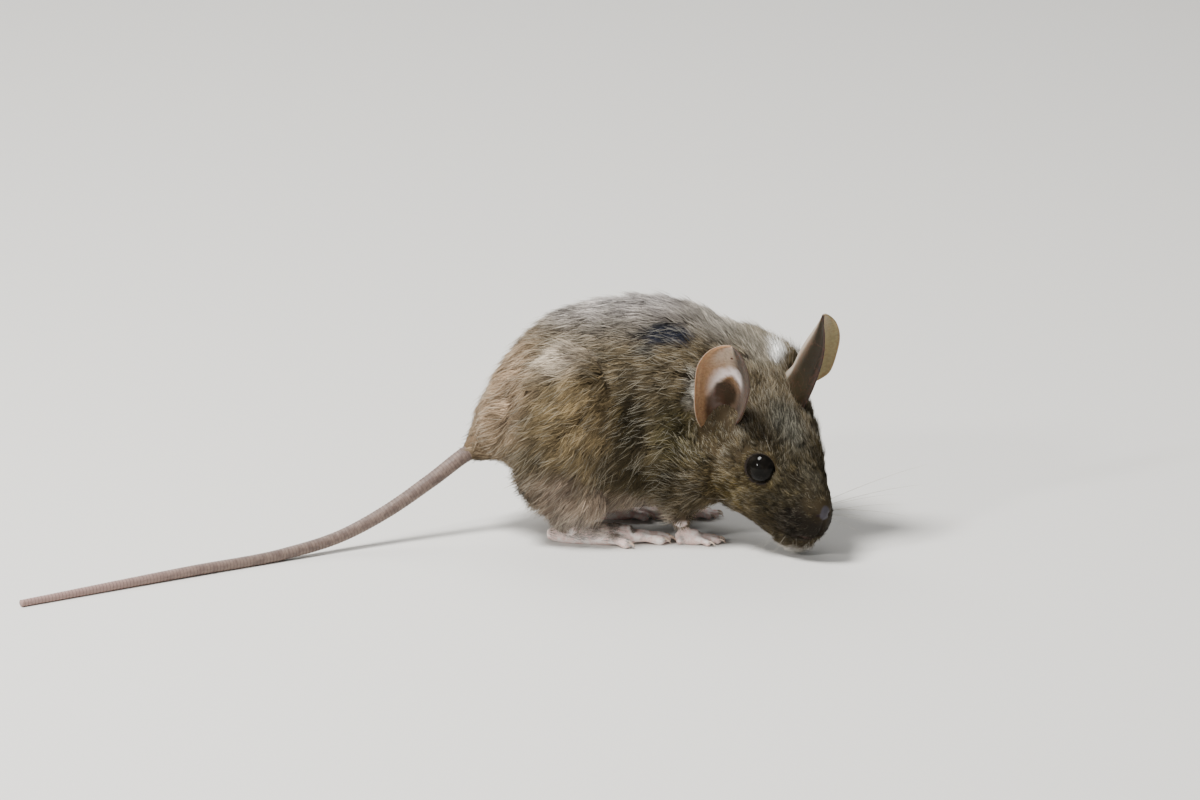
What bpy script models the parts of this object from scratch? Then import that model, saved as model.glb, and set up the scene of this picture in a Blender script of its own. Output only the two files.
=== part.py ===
# House mouse (Mus musculus), about four weeks old, life size, as a still museum model.
# It sits hunched along +X with its head turned to its right and down, and its tail on the floor.
# +X is the way the body faces, +Y its left, +Z up, and the floor is Z = 0.
# The origin is under the middle of the whole animal.
# Each part is a loft: rings carried along a line. The lofts of flesh are fused into one body,
# and that body is then parted into head, neck, trunk and legs by thin cuts.
import math

import bpy
import numpy as np
from mathutils import Euler, Matrix, Vector

MM = 0.001                        # the dimensions below are millimetres
GAP = 0.3                         # width of the cut between two neighbouring pieces
FLESH_FACES = 2800                # triangles of the fused body
FLESH_SQUARE = 0.5                # side of the squares it is made of before it is thinned out
FLESH_RELAX = 10                  # times these squares are relaxed
FOOT_SQUARE = 0.2
FOOT_RELAX = 3

# Driving dimensions
HEAD_YAW = -56.0                  # degrees to its own left, so this turns it to the right
HEAD_PITCH = -19.0                # degrees up, so this points the nose down
HEAD_ROLL = 4.0                   # degrees that its left side is raised
NOSE = (24.1, -15.4, 6.4)         # tip of the nose
EYE_PLACE = (7.9, 3.9, 1.7)       # behind the nose, out from the midline, above the nose
EYE_RADIUS = 1.65
EAR_HEIGHT = 9.2
EAR_SUNK = 2.6                    # how far the foot of its funnel is sunk below its root
EAR_WIDTH = 7.1
EAR_THICKNESS = 0.6
EAR_SET_BACK = 0.9                # its back is this far inward of its root
# The right ear (-1) stands up and faces outward; the left one (+1) leans out and is turned
# forward. Root: behind the nose, out from the midline, above the nose. Rise: forward, outward and
# up. Opens: the hollow faces outward and by this share forward.
EARS = {
    -1: {"root": (14.7, 5.0, 5.4), "rise": (0.18, 0.08, 0.98), "opens": 0.28},
    1: {"root": (15.2, 4.5, 6.9), "rise": (0.18, 0.29, 0.97), "opens": 1.3},
}
TAIL_STATIONS = (0.0, 0.25, 0.66, 1.0)   # shares of its length at which its radius is given
TAIL_RADIUS = (1.05, 0.78, 0.66, 0.42)
TAIL_CUTS = (0.30, 0.64)          # where along its length the tail is parted
# Each foot: heel, then length to the toe roots, width, height, longest toe and toe radius
HIND_FOOT = {"heel": (-7.0, 5.4, 0.0), "length": 9.6, "width": 3.2, "height": 2.9,
             "toe": 4.4, "toe_radius": 0.56, "faces": 380}
FORE_FOOT = {"heel": (7.5, 5.6, 0.0), "length": 2.7, "width": 2.5, "height": 2.2,
             "toe": 2.5, "toe_radius": 0.42, "faces": 290}
# Form of a foot at nine even steps from heel to toe roots: half width as a share of the widest,
# half height and height of its middle line as shares of its height
FOOT_HALF = (0.15, 0.29, 0.44, 0.58, 0.70, 0.79, 0.86, 0.93, 0.80)
FOOT_TALL = (0.21, 0.33, 0.43, 0.49, 0.52, 0.52, 0.50, 0.48, 0.46)
FOOT_MIDDLE = (0.35, 0.335, 0.32, 0.305, 0.29, 0.275, 0.26, 0.245, 0.23)
# Form of a toe from root to tip: share of its reach, then height and radius in toe radii
TOE_REACH = (-0.25, 0.25, 0.6, 0.85, 1.0)
TOE_RISE = (0.9, 1.25, 1.15, 0.8, 0.65)
TOE_GIRTH = (1.1, 1.0, 0.95, 1.05, 0.6)
# Each toe: place across as a share of half the width (outward), degrees turned outward,
# share of the longest toe, and how far back its root is
HIND_TOES = ((-0.62, -13, 0.80, 1.4), (-0.32, -4, 0.98, 0.3), (0.0, 1, 1.0, 0.0),
             (0.34, 6, 0.95, 0.4), (0.70, 30, 0.72, 3.0))
FORE_TOES = ((-0.55, -18, 0.85, 0.4), (-0.2, -5, 1.0, 0.0), (0.2, 8, 1.0, 0.0), (0.6, 26, 0.8, 0.5))

# Rings of each ear, foot to tip: share of its height, width as a share of the widest, and the
# angle from its middle line to its edge, in degrees
EAR_SHARE = (0.0, 0.15, 0.35, 0.6, 0.82, 0.94, 1.0)
EAR_RINGS = {
    -1: {"width": (0.40, 0.62, 0.88, 1.0, 0.84, 0.54, 0.06),
         "bend": (104.0, 96.0, 80.0, 64.0, 54.0, 48.0, 42.0)},
    1: {"width": (0.92, 1.05, 1.12, 1.02, 0.78, 0.48, 0.06),
        "bend": (92.0, 90.0, 88.0, 84.0, 78.0, 70.0, 58.0)},
}
# Rings of the trunk: place along X, top, underside and half width
TRUNK = {
    "along": (-14.4, -13.2, -10.5, -6.0, 0.0, 6.0, 11.0, 15.0, 18.5),
    "top": (13.0, 16.8, 21.6, 26.0, 28.0, 28.1, 26.6, 24.0, 15.0),
    "under": (12.2, 9.6, 7.4, 3.8, 2.6, 2.6, 3.0, 4.6, 12.0),
    "half": (0.0, 4.6, 7.4, 9.3, 10.1, 9.7, 8.6, 6.6, 0.0),
}
WIDEST = 0.39                     # where the trunk is widest, as a share of its height
# Powers below 1 square off the upper and the under side of a ring, and above 1 narrow it
TRUNK_SQUARE = (1.12, 0.75)
HEAD_SQUARE = (0.84, 0.85)
# Rings of the head: distance behind the nose, height above and below the nose, half width
HEAD = {
    "along": (0.0, 0.7, 2.0, 4.0, 6.5, 9.5, 12.5, 16.0, 20.0, 23.0),
    "top": (-1.2, 0.9, 1.9, 3.0, 4.6, 6.3, 7.8, 8.7, 8.3, 0.0),
    "under": (-1.2, -4.1, -6.2, -7.2, -7.1, -7.2, -7.8, -8.0, -7.0, 0.0),
    "half": (0.0, 1.5, 2.3, 3.2, 4.5, 5.8, 6.8, 7.0, 6.4, 0.0),
}
# Line of the neck from inside the chest to inside the head, and its radius at each point
NECK_LINE = ((7.0, 0.3, 15.5), (11.5, 0.9, 15.5), (14.8, 0.0, 14.6), (17.2, -4.0, 12.0))
NECK_RADIUS = (8.6, 7.9, 7.4, 6.2)
# Fur that stands out where the head is turned: bunched on the right of the throat, and high
# between the ears
RUFF = ((9.6, -5.3, 9.2), (6.2, 4.7, 6.0))
NAPE = ((16.6, 1.8, 15.6), (6.4, 6.2, 7.0))
# Line of the tail: out of the rump, down to the floor, then straight along it to the tip
TAIL_LINE = ((-12.0, 0.3, 11.0), (-15.5, -0.8, 9.5), (-20.0, -3.0, 6.6), (-25.0, -5.8, 3.7),
             (-30.0, -8.9, 1.7), (-36.0, -12.8, 0.75), (-46.0, -19.4, 0.6), (-63.5, -31.5, 0.4))
# The rump narrows to the tail along this line, with its radius at each point
TAIL_ROOT_LINE = ((-11.2, 0.2, 12.2), (-14.0, -0.3, 10.5), (-16.4, -1.15, 9.15))
TAIL_ROOT_RADIUS = (5.0, 2.9, 1.4)
# Each leg has a swelling (centre, radii) and a thinner length down to its foot
HAUNCH = ((-4.4, 6.4, 13.4), (6.6, 4.4, 10.2))
HAUNCH_LEAN = 8.0                 # degrees that its top leans forward
SHANK_LINE = ((-1.0, 7.2, 7.0), (-3.2, 6.6, 4.7), (-5.8, 5.6, 2.5))
SHANK_RADIUS = (3.6, 2.8, 1.5)
SHOULDER = ((7.6, 6.2, 11.0), (4.6, 4.2, 7.4))
SHOULDER_LEAN = -6.0
FOREARM_LINE = ((7.4, 6.2, 7.0), (7.8, 5.8, 4.4), (8.3, 5.6, 1.9))
FOREARM_RADIUS = (2.3, 1.6, 0.9)
# Solids that part a leg from the trunk: centre and radii
HIND_PARTING = ((-4.4, 8.2, 11.4), (7.4, 5.2, 12.6))
FORE_PARTING = ((7.4, 8.4, 8.6), (4.0, 4.8, 9.2))
HEAD_PARTING = (7.4, 10.9)        # centre behind the nose, and radius, of the ball round the head
NECK_PARTING = ((12.4, 0.0, 15.0), (0.9, -0.35, -0.1))   # point and direction of a flat cut


def clear_scene():
    for thing in list(bpy.data.objects):
        bpy.data.objects.remove(thing, do_unlink=True)


def smooth_through(stations, values, at):
    # cubic Hermite curve through the values, with slopes from the neighbouring stations
    x = np.asarray(stations, float)
    y = np.asarray(values, float)
    slope = np.gradient(y, x, axis=0)
    i = np.clip(np.searchsorted(x, at) - 1, 0, len(x) - 2)
    step = x[i + 1] - x[i]
    t = (at - x[i]) / step
    if y.ndim > 1:
        t, step = t[:, None], step[:, None]
    return ((1 + 2 * t) * (1 - t) ** 2 * y[i] + t * (1 - t) ** 2 * step * slope[i]
            + t * t * (3 - 2 * t) * y[i + 1] - t * t * (1 - t) * step * slope[i + 1])


def turn_of(x, first, last):
    # angle whose cosine runs from one end of a rounded form to the other: 0 to pi
    return np.arccos(np.clip(1 - 2 * (np.asarray(x, float) - first) / (last - first), -1, 1))


def rings_around(centres, side, up, half, top, under, count, square=(1.0, 1.0)):
    # ring point = centre + side * half * cos + up * (top or under) * sin, and powers of the
    # cosine and sine below 1 square off the upper and the under side
    angle = np.arange(count) * 2 * math.pi / count
    c, s = np.cos(angle), np.sin(angle)
    power = np.where(s > 0, square[0], square[1])
    c = np.sign(c) * np.abs(c) ** power
    s = np.sign(s) * np.abs(s) ** power
    lift = np.where(s > 0, top[:, None] * s, under[:, None] * -s)
    reach = half[:, None] * c
    return centres[:, None] + reach[..., None] * side[:, None] + lift[..., None] * up[:, None]


def grid_faces(rings, around):
    # quads between neighbouring rings, and a fan from each end ring to its pole
    row, column = np.mgrid[0:rings - 1, 0:around]
    after = (column + 1) % around
    a, b = row * around + column, row * around + after
    quads = np.stack([a, b, b + around, a + around], -1).reshape(-1, 4)
    first, last = rings * around, rings * around + 1
    edge, ahead = np.arange(around), (np.arange(around) + 1) % around
    end = (rings - 1) * around
    return (quads.tolist() + [[first, int(j), int(i)] for i, j in zip(edge, ahead)]
            + [[last, int(end + i), int(end + j)] for i, j in zip(edge, ahead)])


def closed_loft(rings):
    # one closed surface: the rings and a point at the middle of each end ring
    rings = np.asarray(rings)
    poles = [rings[0].mean(0), rings[-1].mean(0)]
    points = np.vstack([rings.reshape(-1, 3), poles])
    return points, grid_faces(len(rings), rings.shape[1])


def joined(lofts):
    # several closed surfaces in one list of points and faces
    points, faces, start = [], [], 0
    for p, f in lofts:
        points.append(p)
        faces += [[i + start for i in face] for face in f]
        start += len(p)
    return np.vstack(points), faces


def make_mesh(name, loft):
    points, faces = loft
    mesh = bpy.data.meshes.new(name)
    mesh.from_pydata((points * MM).tolist(), [], faces)
    mesh.update()
    if sum(face.center.dot(face.normal) * face.area for face in mesh.polygons) < 0:
        mesh.flip_normals()
    mesh.shade_smooth()
    return mesh


def add_object(name, mesh, root):
    thing = bpy.data.objects.new(name, mesh)
    bpy.context.scene.collection.objects.link(thing)
    thing.parent = root
    return thing


def evaluated_mesh(thing):
    graph = bpy.context.evaluated_depsgraph_get()
    return bpy.data.meshes.new_from_object(thing.evaluated_get(graph))


def fused(name, lofts, voxel, passes, faces):
    # closed lofts that overlap, made one skin of small squares, relaxed, then thinned out
    thing = add_object(name, make_mesh(name, joined(lofts)), None)
    remesh = thing.modifiers.new("one_skin", "REMESH")
    remesh.mode = "VOXEL"
    remesh.voxel_size = voxel * MM
    relax = thing.modifiers.new("relax", "SMOOTH")
    relax.factor = 0.5
    relax.iterations = passes
    skin = evaluated_mesh(thing)
    thin = thing.modifiers.new("thin_out", "DECIMATE")
    thin.ratio = faces / (2 * len(skin.polygons))
    bpy.data.meshes.remove(skin)
    skin = evaluated_mesh(thing)
    bpy.data.objects.remove(thing, do_unlink=True)
    skin.shade_smooth()
    return skin


def head_axes():
    # forward, left and up of the head in the model's axes
    turn = Euler((math.radians(HEAD_ROLL), math.radians(-HEAD_PITCH), math.radians(HEAD_YAW)), "XYZ")
    return np.array(turn.to_matrix()).T


def in_head(behind, out, above):
    # a place in the head: behind the nose, out to its left, above the nose
    forward, left, up = head_axes()
    return np.array(NOSE) - forward * behind + left * out + up * above


def trunk_loft(rings=22, around=28):
    first, last = TRUNK["along"][0], TRUNK["along"][-1]
    stations = turn_of(TRUNK["along"], first, last)
    at = np.linspace(0.09, math.pi - 0.09, rings)
    x = first + (last - first) * (1 - np.cos(at)) / 2
    top, under, half = (smooth_through(stations, TRUNK[k], at) for k in ("top", "under", "half"))
    belly = under + WIDEST * (top - under)
    centres = np.stack([x, 0 * x, belly], -1)
    side = np.tile((0.0, 1.0, 0.0), (rings, 1))
    up = np.tile((0.0, 0.0, 1.0), (rings, 1))
    rise, fall = top - belly, under - belly
    return closed_loft(rings_around(centres, side, up, half, rise, fall, around, TRUNK_SQUARE))


def head_loft(rings=24, around=24):
    forward, left, up = head_axes()
    first, last = HEAD["along"][0], HEAD["along"][-1]
    stations = turn_of(HEAD["along"], first, last)
    at = np.linspace(0.07, math.pi - 0.09, rings)
    behind = first + (last - first) * (1 - np.cos(at)) / 2
    top, under, half = (smooth_through(stations, HEAD[k], at) for k in ("top", "under", "half"))
    middle = (top + under) / 2
    centres = np.array(NOSE) - behind[:, None] * forward + middle[:, None] * up
    axes = [np.tile(a, (rings, 1)) for a in (left, up)]
    rise, fall = top - middle, under - middle
    return closed_loft(rings_around(centres, *axes, half, rise, fall, around, HEAD_SQUARE))


def tube_loft(line, radius, rings, around, flat=1.0, upright=(0.0, 0.0, 1.0)):
    # round rings carried along a smooth line through the points; flat squashes them upright
    line = np.asarray(line, float)
    length = np.append(0, np.cumsum(np.linalg.norm(np.diff(line, axis=0), axis=1)))
    at = np.linspace(0, length[-1], rings)
    centres = smooth_through(length, line, at)
    size = smooth_through(length, radius, at)
    ahead = np.gradient(centres, axis=0)
    ahead /= np.linalg.norm(ahead, axis=1)[:, None]
    side = np.cross(np.asarray(upright, float), ahead)
    side /= np.linalg.norm(side, axis=1)[:, None]
    up = np.cross(ahead, side)
    return closed_loft(rings_around(centres, side, up, size, size * flat, -size * flat, around))


def ball_loft(centre, radii, lean=0.0, rings=14, around=20):
    # an ellipsoid, leaned forward about the Y axis
    latitude = np.linspace(0.12, math.pi - 0.12, rings)
    turn = np.arange(around) * 2 * math.pi / around
    unit = np.stack([np.sin(latitude)[:, None] * np.cos(turn), np.sin(latitude)[:, None] * np.sin(turn),
                     np.cos(latitude)[:, None] * np.ones(around)], -1)
    tilt = np.array(Matrix.Rotation(math.radians(lean), 3, "Y"))
    return closed_loft((unit * radii) @ tilt.T + centre)


def on_side(place, side):
    # the same place on the right (-1) or left (+1) of the body
    return np.asarray(place, float) * (1, side, 1)


def flesh():
    lofts = [trunk_loft(), head_loft(), tube_loft(NECK_LINE, NECK_RADIUS, 9, 22),
             tube_loft(TAIL_ROOT_LINE, TAIL_ROOT_RADIUS, 7, 16), ball_loft(*RUFF), ball_loft(*NAPE)]
    for side in (-1, 1):
        lofts.append(ball_loft(on_side(HAUNCH[0], side), HAUNCH[1], HAUNCH_LEAN))
        lofts.append(ball_loft(on_side(SHOULDER[0], side), SHOULDER[1], SHOULDER_LEAN))
        shank = [on_side(p, side) for p in SHANK_LINE]
        forearm = [on_side(p, side) for p in FOREARM_LINE]
        lofts.append(tube_loft(shank, SHANK_RADIUS, 7, 12, upright=(1.0, 0.0, 0.3)))
        lofts.append(tube_loft(forearm, FOREARM_RADIUS, 7, 12, upright=(1.0, 0.0, 0.0)))
    return fused("flesh", lofts, FLESH_SQUARE, FLESH_RELAX, FLESH_FACES)


def foot_lofts(side, foot, toes):
    # a flat sole from the heel to the toe roots, narrower at the heel, and a bent tube for each toe
    length, width, height = foot["length"], foot["width"], foot["height"]
    ahead, across, up = (np.array(a, float) for a in ((1, 0, 0), (0, side, 0), (0, 0, 1)))
    heel = on_side(foot["heel"], side)
    rings = len(FOOT_HALF)
    centres = heel + np.linspace(0, 1, rings)[:, None] * length * ahead
    centres[:, 2] = height * np.asarray(FOOT_MIDDLE)
    half = width / 2 * np.asarray(FOOT_HALF)
    tall = height * np.asarray(FOOT_TALL)
    axes = [np.tile(a, (rings, 1)) for a in (across, up)]
    lofts = [closed_loft(rings_around(centres, *axes, half, tall, -tall, 14))]
    for place, turn, share, back in toes:
        way = math.radians(turn)
        aim = ahead * math.cos(way) + across * math.sin(way)
        root = heel + ahead * (length - back) + across * place * width / 2
        reach = foot["toe"] * share
        line = [root + aim * reach * far + up * rise * foot["toe_radius"]
                for far, rise in zip(TOE_REACH, TOE_RISE)]
        radius = [foot["toe_radius"] * girth for girth in TOE_GIRTH]
        lofts.append(tube_loft(line, radius, rings, 10))
    return lofts


def settle_on_floor(mesh):
    # whatever reaches below the floor is pressed up to it, which makes the small flat soles
    points = np.empty(len(mesh.vertices) * 3, np.float32)
    mesh.vertices.foreach_get("co", points)
    points = points.reshape(-1, 3)
    points[:, 2] = np.maximum(points[:, 2], 0.0)
    mesh.vertices.foreach_set("co", points.ravel())
    mesh.update()


def foot_mesh(side, foot, toes):
    mesh = fused("foot", foot_lofts(side, foot, toes), FOOT_SQUARE, FOOT_RELAX, foot["faces"])
    settle_on_floor(mesh)
    return mesh


def ear_shell(side, rings=11, across=7):
    # a scoop: at each height its section is a band bent round the hollow, closed to a funnel low down
    forward, left, up = head_axes()
    out = left * side
    ear, rings_of = EARS[side], EAR_RINGS[side]
    rise = up * ear["rise"][2] + out * ear["rise"][1] + forward * ear["rise"][0]
    rise /= np.linalg.norm(rise)
    opens = out + forward * ear["opens"]
    opens -= rise * opens.dot(rise)
    opens /= np.linalg.norm(opens)
    sweep = np.cross(opens, rise)
    root = in_head(ear["root"][0], side * ear["root"][1], ear["root"][2])
    share = (1 - np.cos(np.linspace(0.05, math.pi - 0.16, rings))) / 2
    height = EAR_HEIGHT * share - EAR_SUNK * (1 - share) ** 2
    chord = smooth_through(EAR_SHARE, rings_of["width"], share) * EAR_WIDTH / 2
    bend = np.radians(smooth_through(EAR_SHARE, rings_of["bend"], share))
    hollow = chord / np.sin(np.minimum(bend, math.pi / 2))
    turn = np.linspace(-1, 1, across)[None, :] * bend[:, None]
    sections = []
    for offset in (EAR_THICKNESS / 2, -EAR_THICKNESS / 2):
        reach = hollow[:, None] + offset
        sweep_by = reach * np.sin(turn)
        open_by = reach * (1 - np.cos(turn)) - offset - EAR_SET_BACK
        sections.append(root + height[:, None, None] * rise + sweep_by[..., None] * sweep
                        + open_by[..., None] * opens)
    outer, inner = sections
    return closed_loft(np.concatenate([outer, inner[:, ::-1]], 1))


def tail_lengths():
    # the tail's line from root to tip, cut into three with a gap at each cut
    line = np.asarray(TAIL_LINE, float)
    length = np.append(0, np.cumsum(np.linalg.norm(np.diff(line, axis=0), axis=1)))
    share = length / length[-1]
    ends = (0.0,) + TAIL_CUTS + (1.0,)
    half_gap = GAP / 2 / length[-1]
    lofts = []
    for i in range(3):
        start = ends[i] + (half_gap if i else 0)
        stop = ends[i + 1] - (half_gap if i < 2 else 0)
        at = np.linspace(start, stop, 9)
        points = smooth_through(share, line, at)
        radius = smooth_through(TAIL_STATIONS, TAIL_RADIUS, at)
        if i == 2:
            radius[-1] *= 0.5
        lofts.append(tube_loft(points, radius, 9, 10))
    return lofts


def cutter(name, loft, root):
    thing = add_object(name, make_mesh(name, loft), root)
    thing.hide_render = True
    thing.display_type = "WIRE"
    return thing


def cut(thing, name, tool, operation):
    boolean = thing.modifiers.new(name, "BOOLEAN")
    boolean.object = tool
    boolean.operation = operation
    boolean.solver = "EXACT"


def half_space(point, way, size=40.0):
    # a box whose near face passes through the point and which lies ahead of it
    way = np.asarray(way, float) / np.linalg.norm(way)
    side = np.cross((0, 0, 1.0), way)
    side /= np.linalg.norm(side)
    up = np.cross(way, side)
    corners = [np.asarray(point) + way * a + side * b + up * c
               for a in (0, size) for b, c in ((-size, -size), (size, -size), (size, size), (-size, size))]
    faces = [[0, 3, 2, 1], [4, 5, 6, 7], [0, 1, 5, 4], [1, 2, 6, 5], [2, 3, 7, 6], [3, 0, 4, 7]]
    return np.array(corners), faces


def material(name, colour, roughness):
    made = bpy.data.materials.new(name)
    made.use_nodes = True
    shader = made.node_tree.nodes["Principled BSDF"]
    shader.inputs["Base Color"].default_value = (*colour, 1.0)
    shader.inputs["Roughness"].default_value = roughness
    return made


def swollen(skin, name, root):
    # the fused body grown by the gap, to cut what is set against it
    thing = add_object(name, skin.copy(), root)
    grow = thing.modifiers.new("grow", "DISPLACE")
    grow.strength = GAP * MM
    grow.mid_level = 0.0
    thing.hide_render = True
    thing.display_type = "WIRE"
    return thing


def build():
    clear_scene()
    root = bpy.data.objects.new("origin", None)
    bpy.context.scene.collection.objects.link(root)
    fur = material("fur", (0.16, 0.12, 0.075), 0.9)
    bare = material("bare_skin", (0.55, 0.36, 0.30), 0.6)
    eye = material("eye", (0.004, 0.004, 0.005), 0.06)
    skin = flesh()
    around = swollen(skin, "cut_flesh", root)

    head_centre = in_head(HEAD_PARTING[0], 0, 0)
    balls = {}
    for label, grow in (("piece", 0.0), ("rest", GAP)):
        around_head = ball_loft(head_centre, np.full(3, HEAD_PARTING[1] + grow), rings=12, around=18)
        balls["head", label] = cutter("cut_head_" + label, around_head, root)
        for side, word in ((-1, "right"), (1, "left")):
            for leg, (centre, radii) in (("hind", HIND_PARTING), ("fore", FORE_PARTING)):
                loft = ball_loft(on_side(centre, side), np.add(radii, grow), rings=11, around=16)
                balls[leg + word, label] = cutter("cut_%s_%s_%s" % (leg, word, label), loft, root)
    way = np.asarray(NECK_PARTING[1]) / np.linalg.norm(NECK_PARTING[1])
    ahead = cutter("cut_neck_piece", half_space(NECK_PARTING[0], way), root)
    ahead_rest = cutter("cut_neck_rest", half_space(np.asarray(NECK_PARTING[0]) - way * GAP, way), root)

    def piece(name, mesh, look):
        mesh.materials.clear()
        mesh.materials.append(look)
        return add_object(name, mesh, root)

    head = piece("head", skin.copy(), fur)
    cut(head, "keep_head", balls["head", "piece"], "INTERSECT")
    neck = piece("neck", skin.copy(), fur)
    cut(neck, "keep_neck", ahead, "INTERSECT")
    cut(neck, "clear_head", balls["head", "rest"], "DIFFERENCE")
    cut(neck, "clear_foreleg", balls["foreright", "rest"], "DIFFERENCE")
    trunk = piece("trunk", skin.copy(), fur)
    cut(trunk, "clear_neck", ahead_rest, "DIFFERENCE")
    cut(trunk, "clear_head", balls["head", "rest"], "DIFFERENCE")
    for side, word in ((-1, "right"), (1, "left")):
        for leg, name in (("hind", "hind_leg_"), ("fore", "foreleg_")):
            limb = piece(name + word, skin.copy(), fur)
            cut(limb, "keep_leg", balls[leg + word, "piece"], "INTERSECT")
            if name + word == "foreleg_right":
                cut(limb, "clear_head", balls["head", "rest"], "DIFFERENCE")
            cut(trunk, "clear_%s_%s" % (leg, word), balls[leg + word, "rest"], "DIFFERENCE")
        for name, foot, toes in (("hind_foot_", HIND_FOOT, HIND_TOES), ("forefoot_", FORE_FOOT, FORE_TOES)):
            paw = piece(name + word, foot_mesh(side, foot, toes), bare)
            cut(paw, "clear_leg", around, "DIFFERENCE")
        ear = piece("ear_" + word, make_mesh("ear_" + word, ear_shell(side)), bare)
        cut(ear, "clear_head", around, "DIFFERENCE")
        centre = in_head(EYE_PLACE[0], side * EYE_PLACE[1], EYE_PLACE[2])
        ball = ball_loft(centre, np.full(3, EYE_RADIUS), rings=8, around=14)
        piece("eye_" + word, make_mesh("eye_" + word, ball), eye)
        socket = cutter("cut_socket_" + word,
                        ball_loft(centre, np.full(3, EYE_RADIUS + GAP), rings=8, around=14), root)
        cut(head, "socket_" + word, socket, "DIFFERENCE")
    for name, loft in zip(("tail_base", "tail_middle", "tail_tip"), tail_lengths()):
        mesh = make_mesh(name, loft)
        settle_on_floor(mesh)
        length = piece(name, mesh, bare)
        if name == "tail_base":
            cut(length, "clear_rump", around, "DIFFERENCE")

    nodes = [o for o in bpy.data.objects if o.type == "MESH" and not o.hide_render]
    graph = bpy.context.evaluated_depsgraph_get()
    corners = np.array([thing.matrix_world @ Vector(corner)
                        for thing in nodes for corner in thing.evaluated_get(graph).bound_box])
    low, high = corners.min(0), corners.max(0)
    root.location = (-(low[0] + high[0]) / 2, -(low[1] + high[1]) / 2, 0.0)


build()
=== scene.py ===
import math

import bpy
import numpy as np
from mathutils import Euler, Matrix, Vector


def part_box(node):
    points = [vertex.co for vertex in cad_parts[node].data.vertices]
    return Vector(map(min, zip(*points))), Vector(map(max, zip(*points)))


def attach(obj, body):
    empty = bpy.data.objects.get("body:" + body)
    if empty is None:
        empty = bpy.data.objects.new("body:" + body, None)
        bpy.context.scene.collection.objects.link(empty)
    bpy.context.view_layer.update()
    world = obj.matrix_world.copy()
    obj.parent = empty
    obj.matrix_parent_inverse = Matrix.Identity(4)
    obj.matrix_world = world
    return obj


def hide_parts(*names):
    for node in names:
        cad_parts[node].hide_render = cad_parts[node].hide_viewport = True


# A young house mouse, life size. The shapes below are worked out in millimetres in the body's own
# axes: +X the way the body faces, +Y its left, +Z up, with the floor at Z = 0.

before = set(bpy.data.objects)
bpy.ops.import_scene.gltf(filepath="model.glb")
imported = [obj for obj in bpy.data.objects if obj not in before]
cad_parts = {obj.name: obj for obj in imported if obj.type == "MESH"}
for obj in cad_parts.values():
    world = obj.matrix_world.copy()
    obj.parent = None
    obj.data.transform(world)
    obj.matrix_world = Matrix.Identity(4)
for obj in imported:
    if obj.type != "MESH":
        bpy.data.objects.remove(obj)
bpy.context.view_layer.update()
mm = 0.001
random = np.random.default_rng(11)
sides = {-1: "right", 1: "left"}      # the sign of Y on each side; tables by side have it as key
floorGap = 0.02                       # the skin and the tail are held this far above the floor

headPose = {"yaw": -56.0, "pitch": -19.0, "roll": 4.0, "nose": (24.1, -15.4, 6.4)}
eyeball = {
    "behind": 7.9, "out": 3.9, "above": 1.7, "radius": 2.0, "cornea": 0.09, "corneaWidth": 0.62,
    "sunk": {-1: 0.75, 1: 1.6}, "back": {-1: 0.35, 1: 0.0}, "lower": {-1: 0.12, 1: 0.0},
    "forward": {-1: 0.72, 1: -0.05}, "upward": {-1: 0.24, 1: 0.0},
}


def smoothStep(x, start, stop):
    # 0 before start, 1 after stop, and 3t^2 - 2t^3 between them
    t = np.clip((np.asarray(x, float) - start) / (stop - start), 0, 1)
    return t * t * (3 - 2 * t)


def unit(v):
    return v / np.maximum(np.linalg.norm(v, axis=-1, keepdims=True), 1e-9)


def flattened(v, normal, share=1.0):
    # the vectors less a share of their part along the normals
    return v - normal * (share * v * normal).sum(1, keepdims=True)


def smoothThrough(stations, values, at):
    # cubic Hermite curve through the values, with slopes from the neighbouring stations
    x, y = np.asarray(stations, float), np.asarray(values, float)
    slope = np.gradient(y, x, axis=0)
    i = np.clip(np.searchsorted(x, at) - 1, 0, len(x) - 2)
    step = x[i + 1] - x[i]
    t = (at - x[i]) / step
    if y.ndim > 1:
        t, step = t[:, None], step[:, None]
    return ((1 + 2 * t) * (1 - t) ** 2 * y[i] + t * (1 - t) ** 2 * step * slope[i]
            + t * t * (3 - 2 * t) * y[i + 1] - t * t * (1 - t) * step * slope[i + 1])


def headAxes():
    # the head's own forward, left and up: turned by its yaw, then its pitch, then its roll
    angles = headPose["roll"], -headPose["pitch"], headPose["yaw"]
    turn = Euler([math.radians(angle) for angle in angles], "XYZ")
    return np.array(turn.to_matrix()).T


def inHead(behind, out, above):
    # a place in the head: behind the nose, out to its left, above the nose
    forward, left, up = headAxes()
    return np.array(headPose["nose"]) - forward * behind + left * out + up * above


def headPlace(points):
    # the reverse: distance behind the nose, out to the left, and above the nose
    forward, left, up = headAxes()
    away = points - np.array(headPose["nose"])
    return -(away @ forward), away @ left, away @ up


def faceFolded(points):
    # places in the head with its two sides folded together
    behind, out, above = headPlace(points)
    return np.stack([behind, np.abs(out), above], -1)


def onSide(place, side):
    return np.asarray(place, float) * (1, side, 1)


def eyeCentre(side):
    behind = eyeball["behind"] + eyeball["back"][side]
    out = eyeball["out"] - eyeball["sunk"][side]
    return inHead(behind, side * out, eyeball["above"] - eyeball["lower"][side])


def eyeAxis(side):
    forward, left, up = headAxes()
    return unit(left * side + forward * eyeball["forward"][side] + up * eyeball["upward"][side])


# from the body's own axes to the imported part's, by where its right eye is
eyeMiddle = np.mean(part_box("eye_right"), axis=0)
shift = eyeMiddle / mm - inHead(eyeball["behind"], -eyeball["out"], eyeball["above"])
print("frame: shift", np.round(shift, 2))


# Surfaces

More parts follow.
